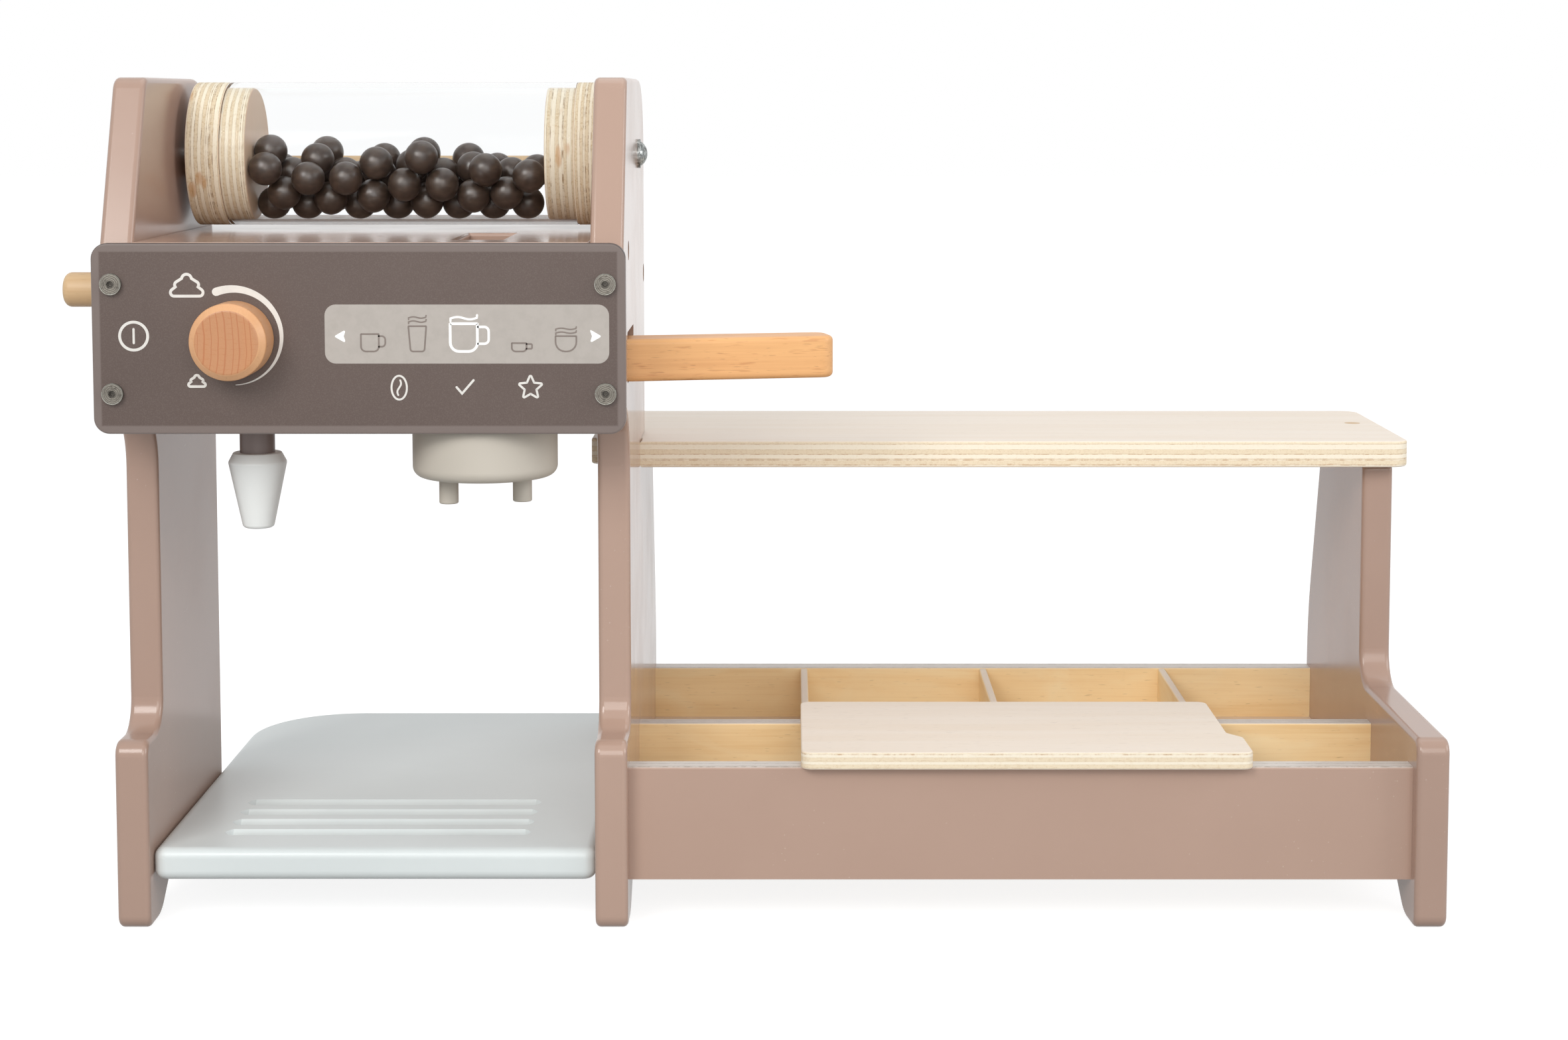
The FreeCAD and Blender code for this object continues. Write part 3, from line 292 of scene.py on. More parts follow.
def fibres(shader, vector, colour, darker, strength=0.5):
    """Long grain along the vector's X: bands, fine lines and short dark pores."""
    bands = shader.noise(1, 3, 0.55, shader.scaled((5, 70, 70), vector), 0.6)
    lines = shader.noise(1, 2, 0.6, shader.scaled((18, 900, 900), vector))
    pores = shader.noise(1, 1, 0.5, shader.scaled((160, 1500, 1500), vector))
    amount = shader.math(
        "ADD",
        shader.math("MULTIPLY", shader.fade(bands, 0.35, 0.7), 0.65),
        shader.math("MULTIPLY", shader.fade(lines, 0.4, 0.75), 0.35),
    )
    tint = shader.blend(shader.math("MULTIPLY", amount, strength), colour, darker)
    dark = shader.math("MULTIPLY", shader.fade(pores, 0.68, 0.78), 0.35)
    tint = shader.blend(dark, tint, shade(darker, 0.72))
    height = shader.math("SUBTRACT", lines, shader.math("MULTIPLY", dark, 1.5))
    return tint, height


def beech_lever():
    """Beech along the lever, which lies turned about the pivot."""
    shader = Shader("beech_lever")
    along = shader.scaled((1, 1, 1), turn=(0, 0, LEVER_TURN))
    tint, height = fibres(shader, along, BEECH, BEECH_DARK, 0.55)
    flecks = shader.fade(shader.noise(1, 1, 0.5, shader.scaled((90, 420, 900), along)), 0.62, 0.72)
    tint = shader.blend(shader.math("MULTIPLY", flecks, 0.35), tint, BEECH_FLECK)
    return shader.finish(tint, 0.42, shader.bump(height, 0.00008, 0.5))


def end_grain(name, centre, colour, darker, side_colour):
    """A dowel along Y: growth rings and rays on its face, long grain on its side, and a painted
    highlight on the chamfer.
    """
    shader = Shader(name)
    near = shader.scaled((1, 1, 1), offset=tuple(-c for c in centre))
    x, _, z = shader.split(near)
    sway = shader.math("MULTIPLY", shader.math("MULTIPLY", z, z), 9.0)
    wobble = shader.math("MULTIPLY", shader.noise(60, 2, 0.5, near), 2.2 * MM)
    across = shader.math("ADD", shader.math("ADD", x, sway), wobble)
    rows = shader.join(across, 0.0, 0.0)
    soft = shader.noise(150, 1, 0.5, rows)
    drift = shader.math("MULTIPLY", shader.noise(120, 1, 0.5, rows), 2.4)
    count = shader.math("ADD", shader.math("DIVIDE", across, RING_PITCH), drift)
    rings = shader.fade(shader.math("PINGPONG", count, 0.5), 0.36, 0.5)
    lift = shader.math("MULTIPLY", shader.noise(170, 2, 0.6, near), 1.4)
    rows = shader.math("ADD", shader.math("DIVIDE", z, RAY_PITCH), lift)
    rays = shader.fade(shader.math("PINGPONG", rows, 0.5), 0.4, 0.5)
    broken = shader.fade(shader.noise(300, 1, 0.5, near), 0.42, 0.6)
    rays = shader.math("MULTIPLY", rays, broken)
    face = shader.blend(shader.math("MULTIPLY", shader.fade(soft, 0.4, 0.7), 0.25), colour, darker)
    face = shader.blend(shader.math("MULTIPLY", rings, 0.62), face, KNOB_RING)
    face = shader.blend(shader.math("MULTIPLY", rays, 0.45), face, KNOB_RAY)
    pores = shader.specks(1500, 0.15, 0.4, near)
    face = shader.blend(shader.math("MULTIPLY", pores, 0.25), face, KNOB_PORE)
    along = shader.scaled((1, 1, 1), near, turn=grain_turn(1))
    side, height = fibres(shader, along, side_colour, darker)
    forward = shader.math("ABSOLUTE", shader.split(shader.normal)[1])
    facing = shader.fade(forward, 0.8, 0.95)
    # Painted highlight: a lighter band on the chamfer, where the normal turns from the face to the
    # side.
    painted_rim_light = shader.fade(shader.math("ABSOLUTE", shader.math("SUBTRACT", forward, 0.72)), 0.25, 0.1)
    tint = shader.blend(facing, side, face)
    tint = shader.blend(shader.math("MULTIPLY", painted_rim_light, 0.3), tint, KNOB_CHAMFER_HIGHLIGHT)
    height = shader.math("SUBTRACT", height, shader.math("MULTIPLY", rings, 0.8))
    return shader.finish(tint, 0.4, shader.bump(height, 0.00008, 0.5))


def peg_wood():
    """Pale dowel wood with its grain along X."""
    shader = Shader("peg_wood")
    tint, height = fibres(shader, shader.place, PEG, PEG_DARK, 0.6)
    return shader.finish(tint, 0.45, shader.bump(height, 0.00007, 0.5))


def stacked(shader, axis, start, layers, end, tones):
    """Plywood edges: smooth and rough layers in turn, with thin broken glue lines."""
    light, dark, rougher, glue = tones
    thickness = end - start
    pitch = thickness / layers
    position = shader.split()[axis]
    waver = shader.math("SUBTRACT", shader.noise(90, 3, 0.6), 0.5)
    waver = shader.math("MULTIPLY", waver, 0.05 * thickness)
    uneven = shader.noise(2.2 / pitch, 1, 0.5, shader.join(position, 0.0, 0.0))
    sway = shader.math("MULTIPLY", shader.math("SUBTRACT", uneven, 0.5), 1.5 * pitch)
    level = shader.math("ADD", shader.math("ADD", position, waver), sway)
    odd = shader.math("PINGPONG", shader.line(level, start, end, layers), 1.0)
    tone = shader.fade(odd, 0.42, 0.58)
    gap = shader.math("ABSOLUTE", shader.math("SUBTRACT", odd, 0.5))
    seam = shader.fade(gap, 0.11, 0.02)
    rough = shader.noise(900, 3, 0.7)
    cut = shader.blend(shader.fade(rough, 0.45, 0.75), dark, rougher)
    smooth = shader.blend(shader.fade(rough, 0.5, 0.85), light, dark)
    tint = shader.blend(tone, smooth, cut)
    broken = shader.fade(shader.noise(260, 3, 0.65), 0.4, 0.62, 0.15, 0.95)
    tint = shader.blend(shader.math("MULTIPLY", seam, broken), tint, glue)
    height = shader.math("SUBTRACT", shader.math("MULTIPLY", rough, tone), seam)
    return tint, height


EDGE_TONES = (PLY_LIGHT, PLY_DARK, PLY_ROUGH, PLY_GLUE)
DISC_TONES = (DISC_LIGHT, DISC_DARK, DISC_ROUGH, DISC_GLUE)
BARE_TONES = (BARE_EDGE, BARE_DARK, BARE_ROUGH, BARE_LINE)
SHELF_FACE = (BIRCH, BIRCH_WARM)
DISC_FACE = (PEACH, BIRCH_WARM)


def plywood(name, node, axis, layers, grain=0, tones=EDGE_TONES, face_tones=SHELF_FACE, patch=0):
    """Plywood for one node: a grained face square to the axis and layered edges."""
    low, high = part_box(node)
    shader = Shader(name)
    along = shader.scaled((1, 1, 1), turn=grain_turn(grain))
    face, face_height = fibres(shader, along, *face_tones, 0.4)
    edge, edge_height = stacked(shader, axis, low[axis], layers, high[axis], tones)
    if patch:
        spot = shader.fade(shader.noise(1, 2, 0.5, shader.scaled((90, 26, 34))), 0.66, 0.72)
        edge = shader.blend(shader.math("MULTIPLY", spot, patch), edge, KNOT)
    flat = shader.fade(shader.math("ABSOLUTE", shader.split(shader.normal)[axis]), 0.55, 0.8)
    tint = shader.blend(flat, edge, face)
    height = shader.math(
        "ADD",
        shader.math("MULTIPLY", face_height, flat),
        shader.math("MULTIPLY", edge_height, shader.math("SUBTRACT", 1.0, flat)),
    )
    roughness = shader.fade(flat, 0, 1, 0.62, 0.45)
    return shader.finish(tint, roughness, shader.bump(height, 0.0001, 0.5))


def bare_top(shader, node, tint):
    """The tint of a board with its layered, unpainted top edge added."""
    low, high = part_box(node)
    top, _ = stacked(shader, 1, low.y, 5, high.y, BARE_TONES)
    up = shader.fade(shader.split(shader.normal)[2], 0.55, 0.8)
    return shader.blend(up, tint, top)


def painted_outside(node, outward):
    """A board with one bare face; outward is 1 or -1, the side along Y that is painted."""
    shader = Shader(node + "_finish")
    wood, wood_height = fibres(shader, shader.place, HONEY, HONEY_DARK, 0.6)
    wood = honey_clouds(shader, shader.place, wood)
    coat, coat_bump, _ = paint(shader, CLAY)
    side = shader.math("MULTIPLY", shader.split(shader.normal)[1], -outward)
    bare = shader.fade(side, 0.6, 0.8)
    tint = bare_top(shader, node, shader.blend(bare, coat, wood))
    bump = shader.bump(wood_height, 0.00005, 0.3, coat_bump)
    return shader.finish(tint, shader.fade(bare, 0, 1, 0.3, 0.5), bump)


def honey_clouds(shader, along, tint):
    """Wide pale waves over warm birch."""
    cloud = shader.noise(1, 4, 0.6, shader.scaled((11, 34, 34), along), 1.4)
    return shader.blend(
        shader.math("MULTIPLY", shader.fade(cloud, 0.42, 0.72), 0.65), tint, HONEY_PALE
    )


def honey_board(name, grain=0, node=None):
    """Warm birch with a cloudy figure, as inside the rack; a node gets a layered top edge."""
    shader = Shader(name)
    along = shader.scaled((1, 1, 1), turn=grain_turn(grain))
    tint, height = fibres(shader, along, HONEY, HONEY_DARK, 0.65)
    tint = honey_clouds(shader, along, tint)
    if node:
        tint = bare_top(shader, node, tint)
    else:
        up = shader.fade(shader.split(shader.normal)[2], 0.6, 0.9)
        tint = shader.blend(shader.math("MULTIPLY", up, 0.75), tint, HONEY_TOP)
    return shader.finish(tint, 0.48, shader.bump(height, 0.00007, 0.4))


# Plastic, metal and beads

COVER_RIM = 4.2 * MM
HEAD_RADIUS = 4.75 * MM
HEAD_RIM_START = 4.1 * MM
HEAD_RIM_FULL = 4.5 * MM
HEAD_RINGS = 7.8 / MM
RECESS_START = 1.9 * MM
RECESS_FULL = 1.4 * MM


def smoked_sheet():
    """The frosted cover: fine grit and soft stains, a paler rim that is painted light, and on the
    bevels painted shade at the top and a painted highlight elsewhere.
    """
    shader = Shader("smoked_sheet")
    normal = shader.split(shader.normal)
    bevel = shader.fade(shader.math("ABSOLUTE", normal[1]), 0.97, 0.6)
    upward = shader.fade(normal[2], -0.1, 0.3)
    low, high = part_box("control_cover")
    x, _, z = shader.split()
    painted_rim_light = 0.0
    for place, side in ((x, low.x), (x, high.x), (z, low.z), (z, high.z)):
        gap = shader.math("ABSOLUTE", shader.math("SUBTRACT", place, side))
        painted_rim_light = shader.math("MAXIMUM", painted_rim_light, shader.fade(gap, COVER_RIM, 0.75 * COVER_RIM))
    clouds = shader.fade(shader.noise(12, 3, 0.6), 0.3, 0.75)
    tint = shader.blend(shader.math("MULTIPLY", clouds, 0.5), SMOKE, SMOKE_CLOUD)
    grit = shader.noise(1900, 1, 0.5)
    tint = shader.blend(shader.math("MULTIPLY", shader.fade(grit, 0.45, 0.7), 0.14), tint, PICTO)
    # Painted light: a paler band along the rim.
    tint = shader.blend(shader.math("MULTIPLY", painted_rim_light, 0.75), tint, SMOKE_RIM_LIGHT)
    # Painted shade on the upward bevel and a painted highlight on the other bevels.
    edge = shader.blend(upward, SMOKE_BEVEL_HIGHLIGHT, SMOKE_BEVEL_SHADE)
    tint = shader.blend(shader.math("MULTIPLY", bevel, 0.85), tint, edge)
    return shader.finish(tint, 0.42, shader.bump(grit, 0.00004, 0.3), IOR=1.49)


def print_ink(name, colour):
    """A silk-screened ink: slightly uneven, with a soft sheen."""
    shader = Shader(name)
    patch = shader.fade(shader.noise(240, 2, 0.6), 0.35, 0.75)
    tint = shader.blend(shader.math("MULTIPLY", patch, 0.6), colour, shade(colour, 0.95))
    return shader.finish(tint, 0.5, shader.bump(shader.noise(1600, 1), 0.00002, 0.3))


def zinc(name, colour=ZINC, roughness=0.42):
    """Dull plated steel with swirls and darker pits."""
    shader = Shader(name)
    swirl = shader.noise(420, 4, 0.65, distortion=1.8)
    pits = shader.noise(900, 2, 0.7)
    darker = shade(colour, 0.5)
    tint = shader.blend(shader.fade(swirl, 0.35, 0.7), darker, colour)
    tint = shader.blend(shader.math("MULTIPLY", shader.fade(pits, 0.6, 0.75), 0.4), tint, darker)
    bump = shader.bump(swirl, 0.00008, 0.6)
    return shader.finish(
        tint, shader.fade(pits, 0.3, 0.7, roughness, roughness + 0.2), bump, Metallic=1.0
    )


def turned_heads():
    """Dull round screw heads: turned rings, painted shade in the recess, and a bright rim that is a
    painted highlight, its strength following the wear noise.
    """
    shader = Shader("turned_heads")
    low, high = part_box("cover_screws")
    x, _, z = shader.split()
    spans = []
    for place, near, far in ((x, low.x, high.x), (z, low.z, high.z)):
        first = shader.math("ABSOLUTE", shader.math("SUBTRACT", place, near + HEAD_RADIUS))
        last = shader.math("ABSOLUTE", shader.math("SUBTRACT", place, far - HEAD_RADIUS))
        span = shader.math("MINIMUM", first, last)
        spans.append(shader.math("MULTIPLY", span, span))
    reach = shader.math("SQRT", shader.math("ADD", *spans))
    worn = shader.noise(700, 3, 0.65)
    wobbly = shader.math("ADD", reach, shader.math("MULTIPLY", worn, 0.6 * MM))
    ring = shader.math("SINE", shader.math("MULTIPLY", wobbly, HEAD_RINGS))
    tint = shader.blend(shader.fade(ring, -0.6, 0.8, 0.0, 0.4), HEAD_DARK, HEAD_LIGHT)
    tint = shader.blend(shader.fade(worn, 0.5, 0.7, 0.0, 0.6), tint, HEAD_WORN)
    # Painted shade: the recess is darker.
    recess_shade = shader.fade(reach, RECESS_START, RECESS_FULL, 0.0, 0.7)
    tint = shader.blend(recess_shade, tint, HEAD_RECESS_SHADE)
    # Painted highlight on the rim, its strength following the wear noise.
    bright = shader.fade(worn, 0.4, 0.6, 0.15, 0.7)
    painted_rim_light = shader.fade(reach, HEAD_RIM_START, HEAD_RIM_FULL, 0.0, bright)
    tint = shader.blend(painted_rim_light, tint, HEAD_RIM_HIGHLIGHT)
    height = shader.math("ADD", ring, shader.math("MULTIPLY", worn, 1.5))
    return shader.finish(tint, 0.4, shader.bump(height, 0.00006, 0.4), Metallic=0.85)


def clear_tube():
    """A clear acrylic tube that lets light through without dark shadows."""
    shader = Shader("clear_tube")
    haze = shader.fade(shader.noise(30, 3, 0.6), 0.45, 0.8, 0.0, 0.03)
    shader.finish((0.985, 0.99, 0.992, 1), haze, IOR=1.1, Transmission_Weight=1.0)
    rays = shader.node("ShaderNodeLightPath")
    through = shader.node("ShaderNodeBsdfTransparent")
    through.inputs["Color"].default_value = (0.97, 0.975, 0.98, 1)
    mixed = shader.node("ShaderNodeMixShader")
    passing = shader.math("MAXIMUM", rays.outputs["Is Shadow Ray"], rays.outputs["Is Diffuse Ray"])
    shader.feed(mixed.inputs[0], passing)
    shader.feed(mixed.inputs[1], shader.surface.outputs[0])
    shader.feed(mixed.inputs[2], through.outputs[0])
    shader.feed(shader.output.inputs["Surface"], mixed.outputs[0])
    return shader.material


def bead_finish():
    """Dark stained wood with a soft shine and faint grain."""
    shader = Shader("bead_finish")
    grain = shader.noise(1, 3, 0.6, shader.scaled((260, 90, 500)))
    dots = shader.specks(1100, 0.05, 0.16)
    tint = shader.blend(shader.fade(grain, 0.35, 0.75), COCOA, COCOA_LIGHT)
    tint = shader.blend(shader.math("MULTIPLY", dots, 0.35), tint, COCOA_DOT)
    bump = shader.bump(shader.noise(900, 2, 0.6), 0.00004, 0.5)
    return shader.finish(tint, 0.31, bump)


# Dressing the solids


def dress(material, *nodes):
    """Gives nodes a material and smooth shading over their rounded edges."""
    for name in nodes:
        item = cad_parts[name]
        item.data.materials.clear()
        item.data.materials.append(material)
        item.data.polygons.foreach_set("use_smooth", [True] * len(item.data.polygons))


# The side panels take the darker clay, a painted shade.
clay_shaded_panels = clay_paint("clay_shaded_panels", CLAY_SHADED, 0.19, 0.22)
clay_boards = clay_paint("clay_boards", CLAY, 0.2, 0.22)
clay_gloss = clay_paint("clay_gloss", CLAY, 0.12, 0.14)
dress(clay_shaded_panels, "left_side_panel", "right_side_panel")
dress(clay_boards, "head_bottom_board", "head_back_board")
dress(clay_gloss, "middle_side_panel", "head_top_board")
dress(painted_outside("rack_front_board", -1), "rack_front_board")
dress(painted_outside("rack_back_board", 1), "rack_back_board")
dress(honey_board("honey_birch_board", 0, "rack_middle_board"), "rack_middle_board")
dress(honey_board("honey_birch_floor"), "rack_front_floor", "rack_rear_floor")
dress(honey_board("honey_birch_across", 1), "rack_divider_1", "rack_divider_2", "rack_divider_3")
dress(pale_paint("ice_paint", ICE, 0.3), "drip_tray")
dress(pale_paint("snow_paint", SNOW, 0.35), "steam_nozzle")
dress(pale_paint("cream_paint", CREAM, 0.5), "brew_cup", "brew_spouts")
dress(pale_paint("pewter_paint", PEWTER, 0.4), "steam_wand_tube")
dress(smoked_sheet(), "control_cover")
knob_low, knob_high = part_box("control_knob")
knob_centre = tuple((knob_low + knob_high) / 2)
knob_wood = end_grain("beech_knob", knob_centre, KNOB_FACE, BEECH_DARK, KNOB_SIDE)
dress(knob_wood, "control_knob")
dress(beech_lever(), "brew_lever", "lever_pivot_dowel")
dress(peg_wood(), "side_peg", "head_rear_rail", "shelf_plug")
dress(plywood("shelf_plywood", "shelf_board", 2, 5), "shelf_board")
dress(plywood("lid_plywood", "rack_lid", 2, 5), "rack_lid")
for side in ("left", "right"):
    for part, layers in (("outer", 9), ("inner", 7)):
        name = f"drum_{side}_{part}_disc"
        finish = plywood(name + "_plywood", name, 0, layers, 2, DISC_TONES, DISC_FACE, 0.6)
        dress(finish, name)
dress(zinc("zinc_plate"), "head_screws", "rack_screws", "tray_screws", "shelf_screw")
dress(turned_heads(), "cover_screws")
bright_zinc = zinc("bright_zinc", ZINC_BRIGHT, 0.28)
dress(bright_zinc, "axle_caps", "axle_washers", "drum_axle_pins")
dress(zinc("knob_steel"), "knob_axle")
dress(clear_tube(), "drum_tube")
dress(bead_finish(), "coffee_beads")


# Printed signs on the cover

cover_low, cover_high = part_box("control_cover")
COVER_FACE = cover_low.y
INK_STEP = 0.06 * MM
INK_DEPTH = 1.5 * INK_STEP
cover_centre = (cover_low + cover_high) / 2


def printed_solid(name, points, faces, material, front):
    """A thin printed solid: flat points in X and Z, its face towards the front."""
    mesh = bmesh.new()
    layers = []
    for y in (front, front + INK_DEPTH):
        layers.append([mesh.verts.new((x, y, z)) for x, z in points])
    for face in faces:
        mesh.faces.new([layers[0][n] for n in face])
        mesh.faces.new([layers[1][n] for n in reversed(face)])
    edges = dict.fromkeys(pair for face in faces for pair in zip(face, face[1:] + face[:1]))
    for a, b in edges:
        if (b, a) not in edges:
            mesh.faces.new((layers[0][b], layers[0][a], layers[1][a], layers[1][b]))
    bmesh.ops.recalc_face_normals(mesh, faces=mesh.faces)
    data = bpy.data.meshes.new(name)
    mesh.to_mesh(data)
    mesh.free()
    data.materials.append(material)
    item = bpy.data.objects.new(name, data)
    bpy.context.scene.collection.objects.link(item)
    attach(item, "stand")


def ribbon(points, widths, closed=False):
    """A band along flat points, with round ends; returns its points and faces."""
    count = len(points)
    if not isinstance(widths, (list, tuple)):
        widths = [widths] * count
    spots = []
    faces = []
    for n in range(count):
        before = points[n - 1] if n or closed else points[n]
        after = points[(n + 1) % count] if n < count - 1 or closed else points[n]
        a = Vector(points[n]) - Vector(before)
        b = Vector(after) - Vector(points[n])
        heading = a.normalized() + b.normalized()
        heading.normalize()
        side = Vector((-heading.y, heading.x))
        lean = side.dot(Vector((-b.y, b.x)).normalized()) if b.length else 1.0
        reach = widths[n] / 2 / max(lean, 0.55)
        spots.append(Vector(points[n]) + side * reach)
        spots.append(Vector(points[n]) - side * reach)
    for n in range(count if closed else count - 1):
        m = (n + 1) % count
        faces.append([2 * n, 2 * n + 1, 2 * m + 1, 2 * m])
    if not closed:
        for n, direction in ((0, -1), (count - 1, 1)):
            other = points[1] if n == 0 else points[-2]
            out = (Vector(points[n]) - Vector(other)).normalized()
            side = Vector((-out.y, out.x)) * widths[n] / 2
            fan = []
            for step in range(1, 6):
                turn = math.pi * step / 6
                spots.append(
                    Vector(points[n]) + side * math.cos(turn) + out * widths[n] / 2 * math.sin(turn)
                )
                fan.append(len(spots) - 1)
            ends = (2 * n, 2 * n + 1) if direction > 0 else (2 * n + 1, 2 * n)
            faces.append([ends[0], *fan, ends[1]])
    return spots, faces


def arc(centre, radius, start, end, steps):
    """Points on an arc, its angles in degrees from the right, anticlockwise."""
    turns = [math.radians(start + (end - start) * n / steps) for n in range(steps + 1)]
    return [
        (centre[0] + radius * math.cos(turn), centre[1] + radius * math.sin(turn)) for turn in turns
    ]


def rounded(corners, radii, steps=6):
    """A closed outline whose corners are rounded, each by its own radius."""
    outline = []
    count = len(corners)
    for n, corner in enumerate(corners):
        radius = radii[n] if isinstance(radii, (list, tuple)) else radii
        here = Vector(corner)
        back = (Vector(corners[n - 1]) - here).normalized()
        ahead = (Vector(corners[(n + 1) % count]) - here).normalized()
        half = math.acos(max(-1, min(1, back.dot(ahead)))) / 2
        if radius <= 0 or half > math.radians(89):
            outline.append(tuple(here))
            continue
        cut = radius / math.tan(half)
        middle = here + (back + ahead).normalized() * (radius / math.sin(half))
        first = here + back * cut - middle
        last = here + ahead * cut - middle
        sweep = first.angle_signed(last)
        for step in range(steps + 1):
            turn = -sweep * step / steps
            outline.append(
                (
                    middle.x + first.x * math.cos(turn) - first.y * math.sin(turn),
                    middle.y + first.x * math.sin(turn) + first.y * math.cos(turn),
                )
            )
    return outline


class Sign:
    """Collects the bands and fills of one printed sign, drawn in millimetres."""

    def __init__(self, name, material, x, z, layer=1):
        self.name = name
        self.material = material
        self.x = cover_centre.x + x * MM
        self.z = cover_centre.z + z * MM
        self.layer = layer
        self.parts = 0

    def put(self, spots, faces):
        self.parts += 1
        placed = [(self.x + p[0] * MM, self.z + p[1] * MM) for p in spots]
        front = COVER_FACE - INK_STEP * self.layer
        printed_solid(f"{self.name}_{self.parts}", placed, faces, self.material, front)

    def line(self, points, width, closed=False):
        self.put(*ribbon(points, width, closed))

    def fill(self, outline):
        self.put(outline, [list(range(len(outline)))])


# Places from the middle of the cover and widths of fine lines, in millimetres
DISPLAY_X = 47.8
DISPLAY_Z = 2.2
CUP_LINE = DISPLAY_Z - 7.7
LOWER_LINE = -21.6
FINE = 0.75
STEAM = 0.65

ink = print_ink("pale_ink", PRINT)
display_ink = print_ink("display_ink", DISPLAY)
picto_ink = print_ink("picto_ink", PICTO)
white_ink = print_ink("white_ink", WHITE)


def power_sign():
    """A ring with an upright stroke."""
    sign = Sign("power_sign", ink, -99.4, 1.3)
    sign.line(arc((0, 0), 6.2, 0, 360, 48)[:-1], 1.25, True)
    sign.line([(0, -3.1), (0, 3.1)], 1.0)


def cloud_sign(name, x, z, size, width):
    """A puff of steam: half of its outline, the top, and the half mirrored."""
    left = [((-5.6, -3.2), 1.6, 270, 120), ((-3.7, 0.2), 1.6, 215, 112)]
    outline = []
    for centre, radius, start, end in left:
        outline += arc(centre, radius, start, end, 8)
    outline += arc((0, 2.7), 2.2, 172, 8, 10)
    half = 9 * len(left)
    outline += [(-px, pz) for px, pz in reversed(outline[:half])]
    scaled = [(px * size, pz * size) for px, pz in outline]
    Sign(name, ink, x, z).line(scaled, width, True)


def dial_sign():
    """A band around the knob that thins clockwise."""
    steps = 48
    points = arc((0, 0), 21.3, 110, -88, steps)
    widths = [3.7 - 3.4 * (n / steps) ** 0.9 for n in range(steps + 1)]
    Sign("dial_sign", ink, -55.4, 0.9).line(points, widths)


def cup_body(width, height, radius):
    """The closed outline of a cup, rounded at the bottom."""
    return rounded(
        [(-width / 2, height), (-width / 2, 0), (width / 2, 0), (width / 2, height)],
        [0.2, radius, radius, 0.2],
    )


def handle(x, low, high, reach, radius):
    """The open loop of a cup's handle."""
    corners = [(x, low), (x + reach, low), (x + reach, high), (x, high)]
    return rounded(corners, [0, radius, radius, 0])


def steam(width, height, lift):
    """A wavy line above a cup."""
    points = []
    for step in range(13):
        part = step / 12
        wave = math.sin(part * 2 * math.pi) * lift
        points.append(((part - 0.5) * width, height + wave * 0.5 + part * 0.3))
    return [(points[0][0], points[0][1] - lift)] + points + [
        (points[-1][0] + 0.15, points[-1][1] + lift)
    ]


def display_sign():
    """A pale plate with an arrow at each end."""
    wide, high = 62.8, 13.1
    plate = [(-wide, -high), (wide, -high), (wide, high), (-wide, high)]
    Sign("display", display_ink, DISPLAY_X, DISPLAY_Z).fill(rounded(plate, 4.9, 8))
    dart = [(-2.7, 0), (2.7, 3.1), (1.7, 0), (2.7, -3.1)]
    for name, side, x in (("arrow_left", 1, -56.1), ("arrow_right", -1, 56.9)):
        sharp = [(side * px, pz) for px, pz in dart]
        if side < 0:
            sharp.reverse()
        sign = Sign(name, white_ink, DISPLAY_X + x, DISPLAY_Z - 1.0, 2)
        sign.fill(rounded(sharp, [0.5, 0.5, 0.3, 0.5], 4))


def cup_signs():
    """Line drawings of cups, each standing on a common line in the display."""
    sign = Sign("small_mug", picto_ink, DISPLAY_X - 42.9, CUP_LINE, 2)
    sign.line(cup_body(7.9, 7.7, 2.2), FINE, True)
    sign.line(handle(3.9, 2.1, 6.8, 2.9, 1.6), FINE)
    sign = Sign("tall_glass", picto_ink, DISPLAY_X - 21.9, CUP_LINE, 2)
    glass = [(-3.95, 11.2), (-3.05, 0), (3.05, 0), (3.95, 11.2)]
    sign.line(rounded(glass, [0.2, 1.2, 1.2, 0.2]), FINE, True)
    sign.line(steam(7.6, 13.1, 0.75), STEAM)
    sign.line(steam(7.6, 14.9, 0.75), STEAM)
    sign = Sign("large_mug", white_ink, DISPLAY_X - 1.4, CUP_LINE, 2)
    sign.line(cup_body(12.0, 12.3, 3.9), 1.2, True)
    sign.line(handle(6.4, 3.4, 10.9, 4.6, 2.0), 1.1)
    sign.line(steam(11.6, 14.6, 1.2), 0.95)
    sign = Sign("espresso_cup", picto_ink, DISPLAY_X + 23.0, CUP_LINE, 2)
    sign.line(cup_body(6.5, 3.7, 1.7), FINE, True)
    sign.line(handle(3.3, 1.2, 3.3, 2.4, 0.5), FINE)
    sign = Sign("bowl", picto_ink, DISPLAY_X + 43.7, CUP_LINE, 2)
    sign.line(cup_body(9.2, 6.8, 4.2), FINE, True)
    sign.line(steam(8.9, 8.2, 0.7), STEAM)
    sign.line(steam(8.9, 9.9, 0.7), STEAM)


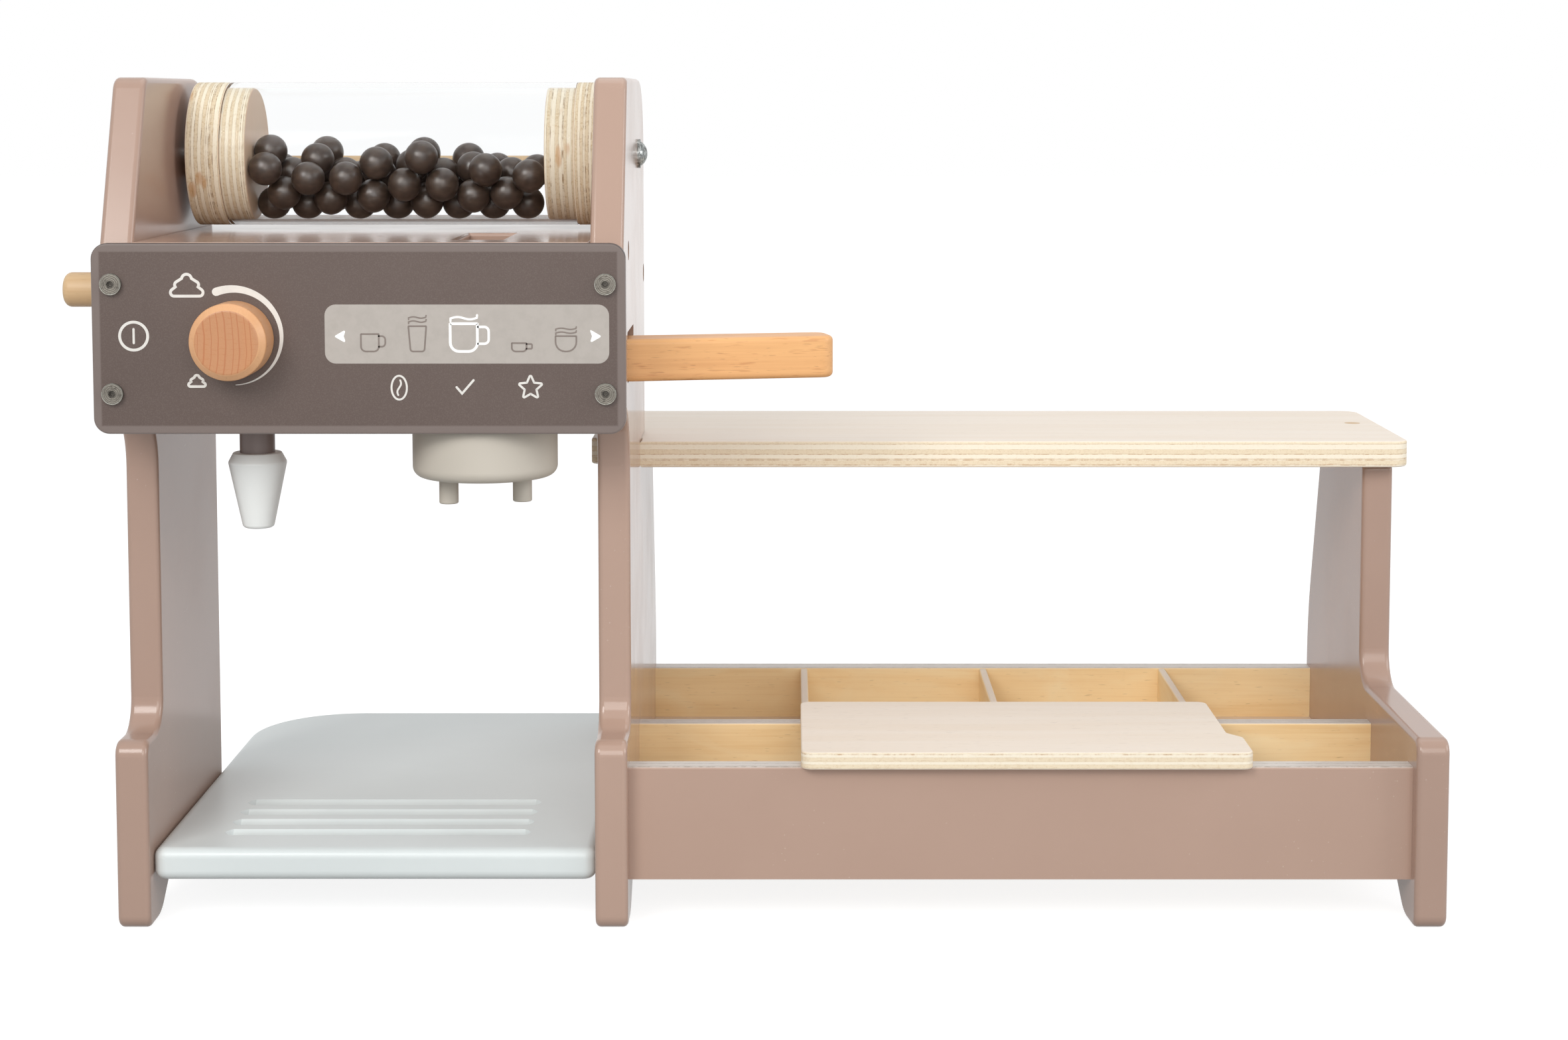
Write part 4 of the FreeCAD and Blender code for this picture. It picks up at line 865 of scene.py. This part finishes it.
def lower_signs():
    """A bean, a tick and a star under the display."""
    sign = Sign("bean_sign", ink, 17.6, LOWER_LINE)
    turns = [math.tau * n / 40 for n in range(40)]
    sign.line([(3.4 * math.cos(turn), 5.3 * math.sin(turn)) for turn in turns], 0.85, True)
    seam = [
        (0.45 * math.cos(n / 12 * math.pi) + 0.5 * math.sin(n / 12 * math.tau), 3.3 - n * 0.55)
        for n in range(13)
    ]
    sign.line(seam, 0.8)
    tick = [(-3.6, 0.2), (-1.2, -2.6), (3.9, 3.3)]
    Sign("tick_sign", ink, 46.6, LOWER_LINE).line(tick, 1.0)
    corners = []
    for n in range(10):
        radius = 5.9 if n % 2 == 0 else 2.75
        turn = math.radians(90 + 36 * n)
        corners.append((radius * math.cos(turn), radius * math.sin(turn)))
    radii = [0.45 if n % 2 == 0 else 0.15 for n in range(10)]
    Sign("star_sign", ink, 75.7, LOWER_LINE).line(rounded(corners, radii, 4), 0.95, True)


power_sign()
cloud_sign("large_cloud", -75.6, 23.8, 1.0, 1.25)
cloud_sign("small_cloud", -71.8, -18.6, 0.52, 1.15)
dial_sign()
display_sign()
cup_signs()
lower_signs()


# Floor, light and camera

FLOOR_REACH = 12.0
FLOOR_TONE = 0.38
FLOOR_GLOW = 0.86
WORLD_LIGHT = 0.5
CAMERA_X = 15.2 * MM
CAMERA_HEIGHT = 378.3 * MM
CAMERA_DISTANCE = 1212.15 * MM
CAMERA_PITCH = math.radians(4.84)


def stage_floor():
    """A white floor that keeps the part's soft shadow and is dimmer in gloss near the part."""
    mesh = bmesh.new()
    corners = ((-1, -1), (1, -1), (1, 1), (-1, 1))
    mesh.faces.new([mesh.verts.new((FLOOR_REACH * x, FLOOR_REACH * y, 0.0)) for x, y in corners])
    data = bpy.data.meshes.new("floor")
    mesh.to_mesh(data)
    mesh.free()
    item = bpy.data.objects.new("floor", data)
    bpy.context.scene.collection.objects.link(item)
    shader = Shader("floor_white")
    tone = (FLOOR_TONE, FLOOR_TONE, FLOOR_TONE, 1)
    shader.finish(tone, 0.9, Specular_IOR_Level=0.0)
    rays = shader.node("ShaderNodeLightPath")
    glow = shader.node("ShaderNodeEmission")
    x, y, _ = shader.split()
    squares = [shader.math("MULTIPLY", place, place) for place in (x, y)]
    reach = shader.math("SQRT", shader.math("ADD", *squares))
    # Painted shade in the floor's reflection: the glow seen in gloss is dimmer near the part.
    level = shader.fade(reach, 1.1, 4.2, 0.68, 1.0)
    glossy = shader.math("MULTIPLY", rays.outputs["Is Glossy Ray"], level)
    seen = shader.math("MAXIMUM", glossy, rays.outputs["Is Transmission Ray"])
    seen = shader.math("MAXIMUM", seen, rays.outputs["Is Camera Ray"])
    shader.feed(glow.inputs["Strength"], shader.math("MULTIPLY", seen, FLOOR_GLOW))
    both = shader.node("ShaderNodeAddShader")
    shader.feed(both.inputs[0], shader.surface.outputs[0])
    shader.feed(both.inputs[1], glow.outputs[0])
    shader.feed(shader.output.inputs["Surface"], both.outputs[0])
    data.materials.append(shader.material)


def studio_world():
    """A plain pale world that shows as white behind the part and in its gloss."""
    world = bpy.data.worlds.new("studio")
    bpy.context.scene.world = world
    world.use_nodes = True
    tree = world.node_tree
    tree.nodes.clear()
    rays = tree.nodes.new("ShaderNodeLightPath")
    seen = rays.outputs["Is Camera Ray"]
    for kind in ("Is Glossy Ray", "Is Transmission Ray"):
        either = tree.nodes.new("ShaderNodeMath")
        either.operation = "MAXIMUM"
        tree.links.new(seen, either.inputs[0])
        tree.links.new(rays.outputs[kind], either.inputs[1])
        seen = either.outputs[0]
    light = tree.nodes.new("ShaderNodeBackground")
    light.inputs["Color"].default_value = (0.97, 0.985, 1.0, 1)
    light.inputs["Strength"].default_value = WORLD_LIGHT
    white = tree.nodes.new("ShaderNodeBackground")
    white.inputs["Color"].default_value = (1, 1, 1, 1)
    mixed = tree.nodes.new("ShaderNodeMixShader")
    output = tree.nodes.new("ShaderNodeOutputWorld")
    tree.links.new(seen, mixed.inputs[0])
    tree.links.new(light.outputs[0], mixed.inputs[1])
    tree.links.new(white.outputs[0], mixed.inputs[2])
    tree.links.new(mixed.outputs[0], output.inputs["Surface"])


def lamp(name, place, target, size, power, colour=(1, 1, 1)):
    """A square lamp of a size in metres and a power in watts, aimed at the target."""
    data = bpy.data.lights.new(name, "AREA")
    data.shape = "SQUARE"
    data.size = size
    data.energy = power
    data.color = colour
    item = bpy.data.objects.new(name, data)
    item.location = place
    item.rotation_euler = (Vector(target) - Vector(place)).to_track_quat("-Z", "Y").to_euler()
    bpy.context.scene.collection.objects.link(item)


def photo_camera():
    """A long lens before the cover, at the height of the head's top, looking a little down."""
    data = bpy.data.cameras.new("camera")
    item = bpy.data.objects.new("camera", data)
    data.sensor_width = 36
    data.lens = 63.25
    data.shift_x = -0.0049
    data.shift_y = -0.12
    item.location = (CAMERA_X, COVER_FACE - CAMERA_DISTANCE, CAMERA_HEIGHT)
    item.rotation_euler = (math.pi / 2 - CAMERA_PITCH, 0, 0)
    bpy.context.scene.collection.objects.link(item)
    bpy.context.scene.camera = item


stage_floor()
studio_world()
lamp("key", (-0.8, -1.5, 1.15), (-0.02, 0, 0.15), 0.75, 14.5, (1, 0.985, 0.965))
lamp("front", (0.25, -2.3, 1.0), (0.05, 0, 0.15), 1.3, 17, (1, 0.99, 0.975))
lamp("fill", (1.75, -0.6, 0.85), (0.05, 0, 0.15), 1.0, 11, (0.98, 0.985, 1))
lamp("top", (0.1, 0.3, 1.7), (0, 0, 0.1), 1.2, 3.6)
photo_camera()
bpy.context.scene.view_settings.view_transform = "Standard"
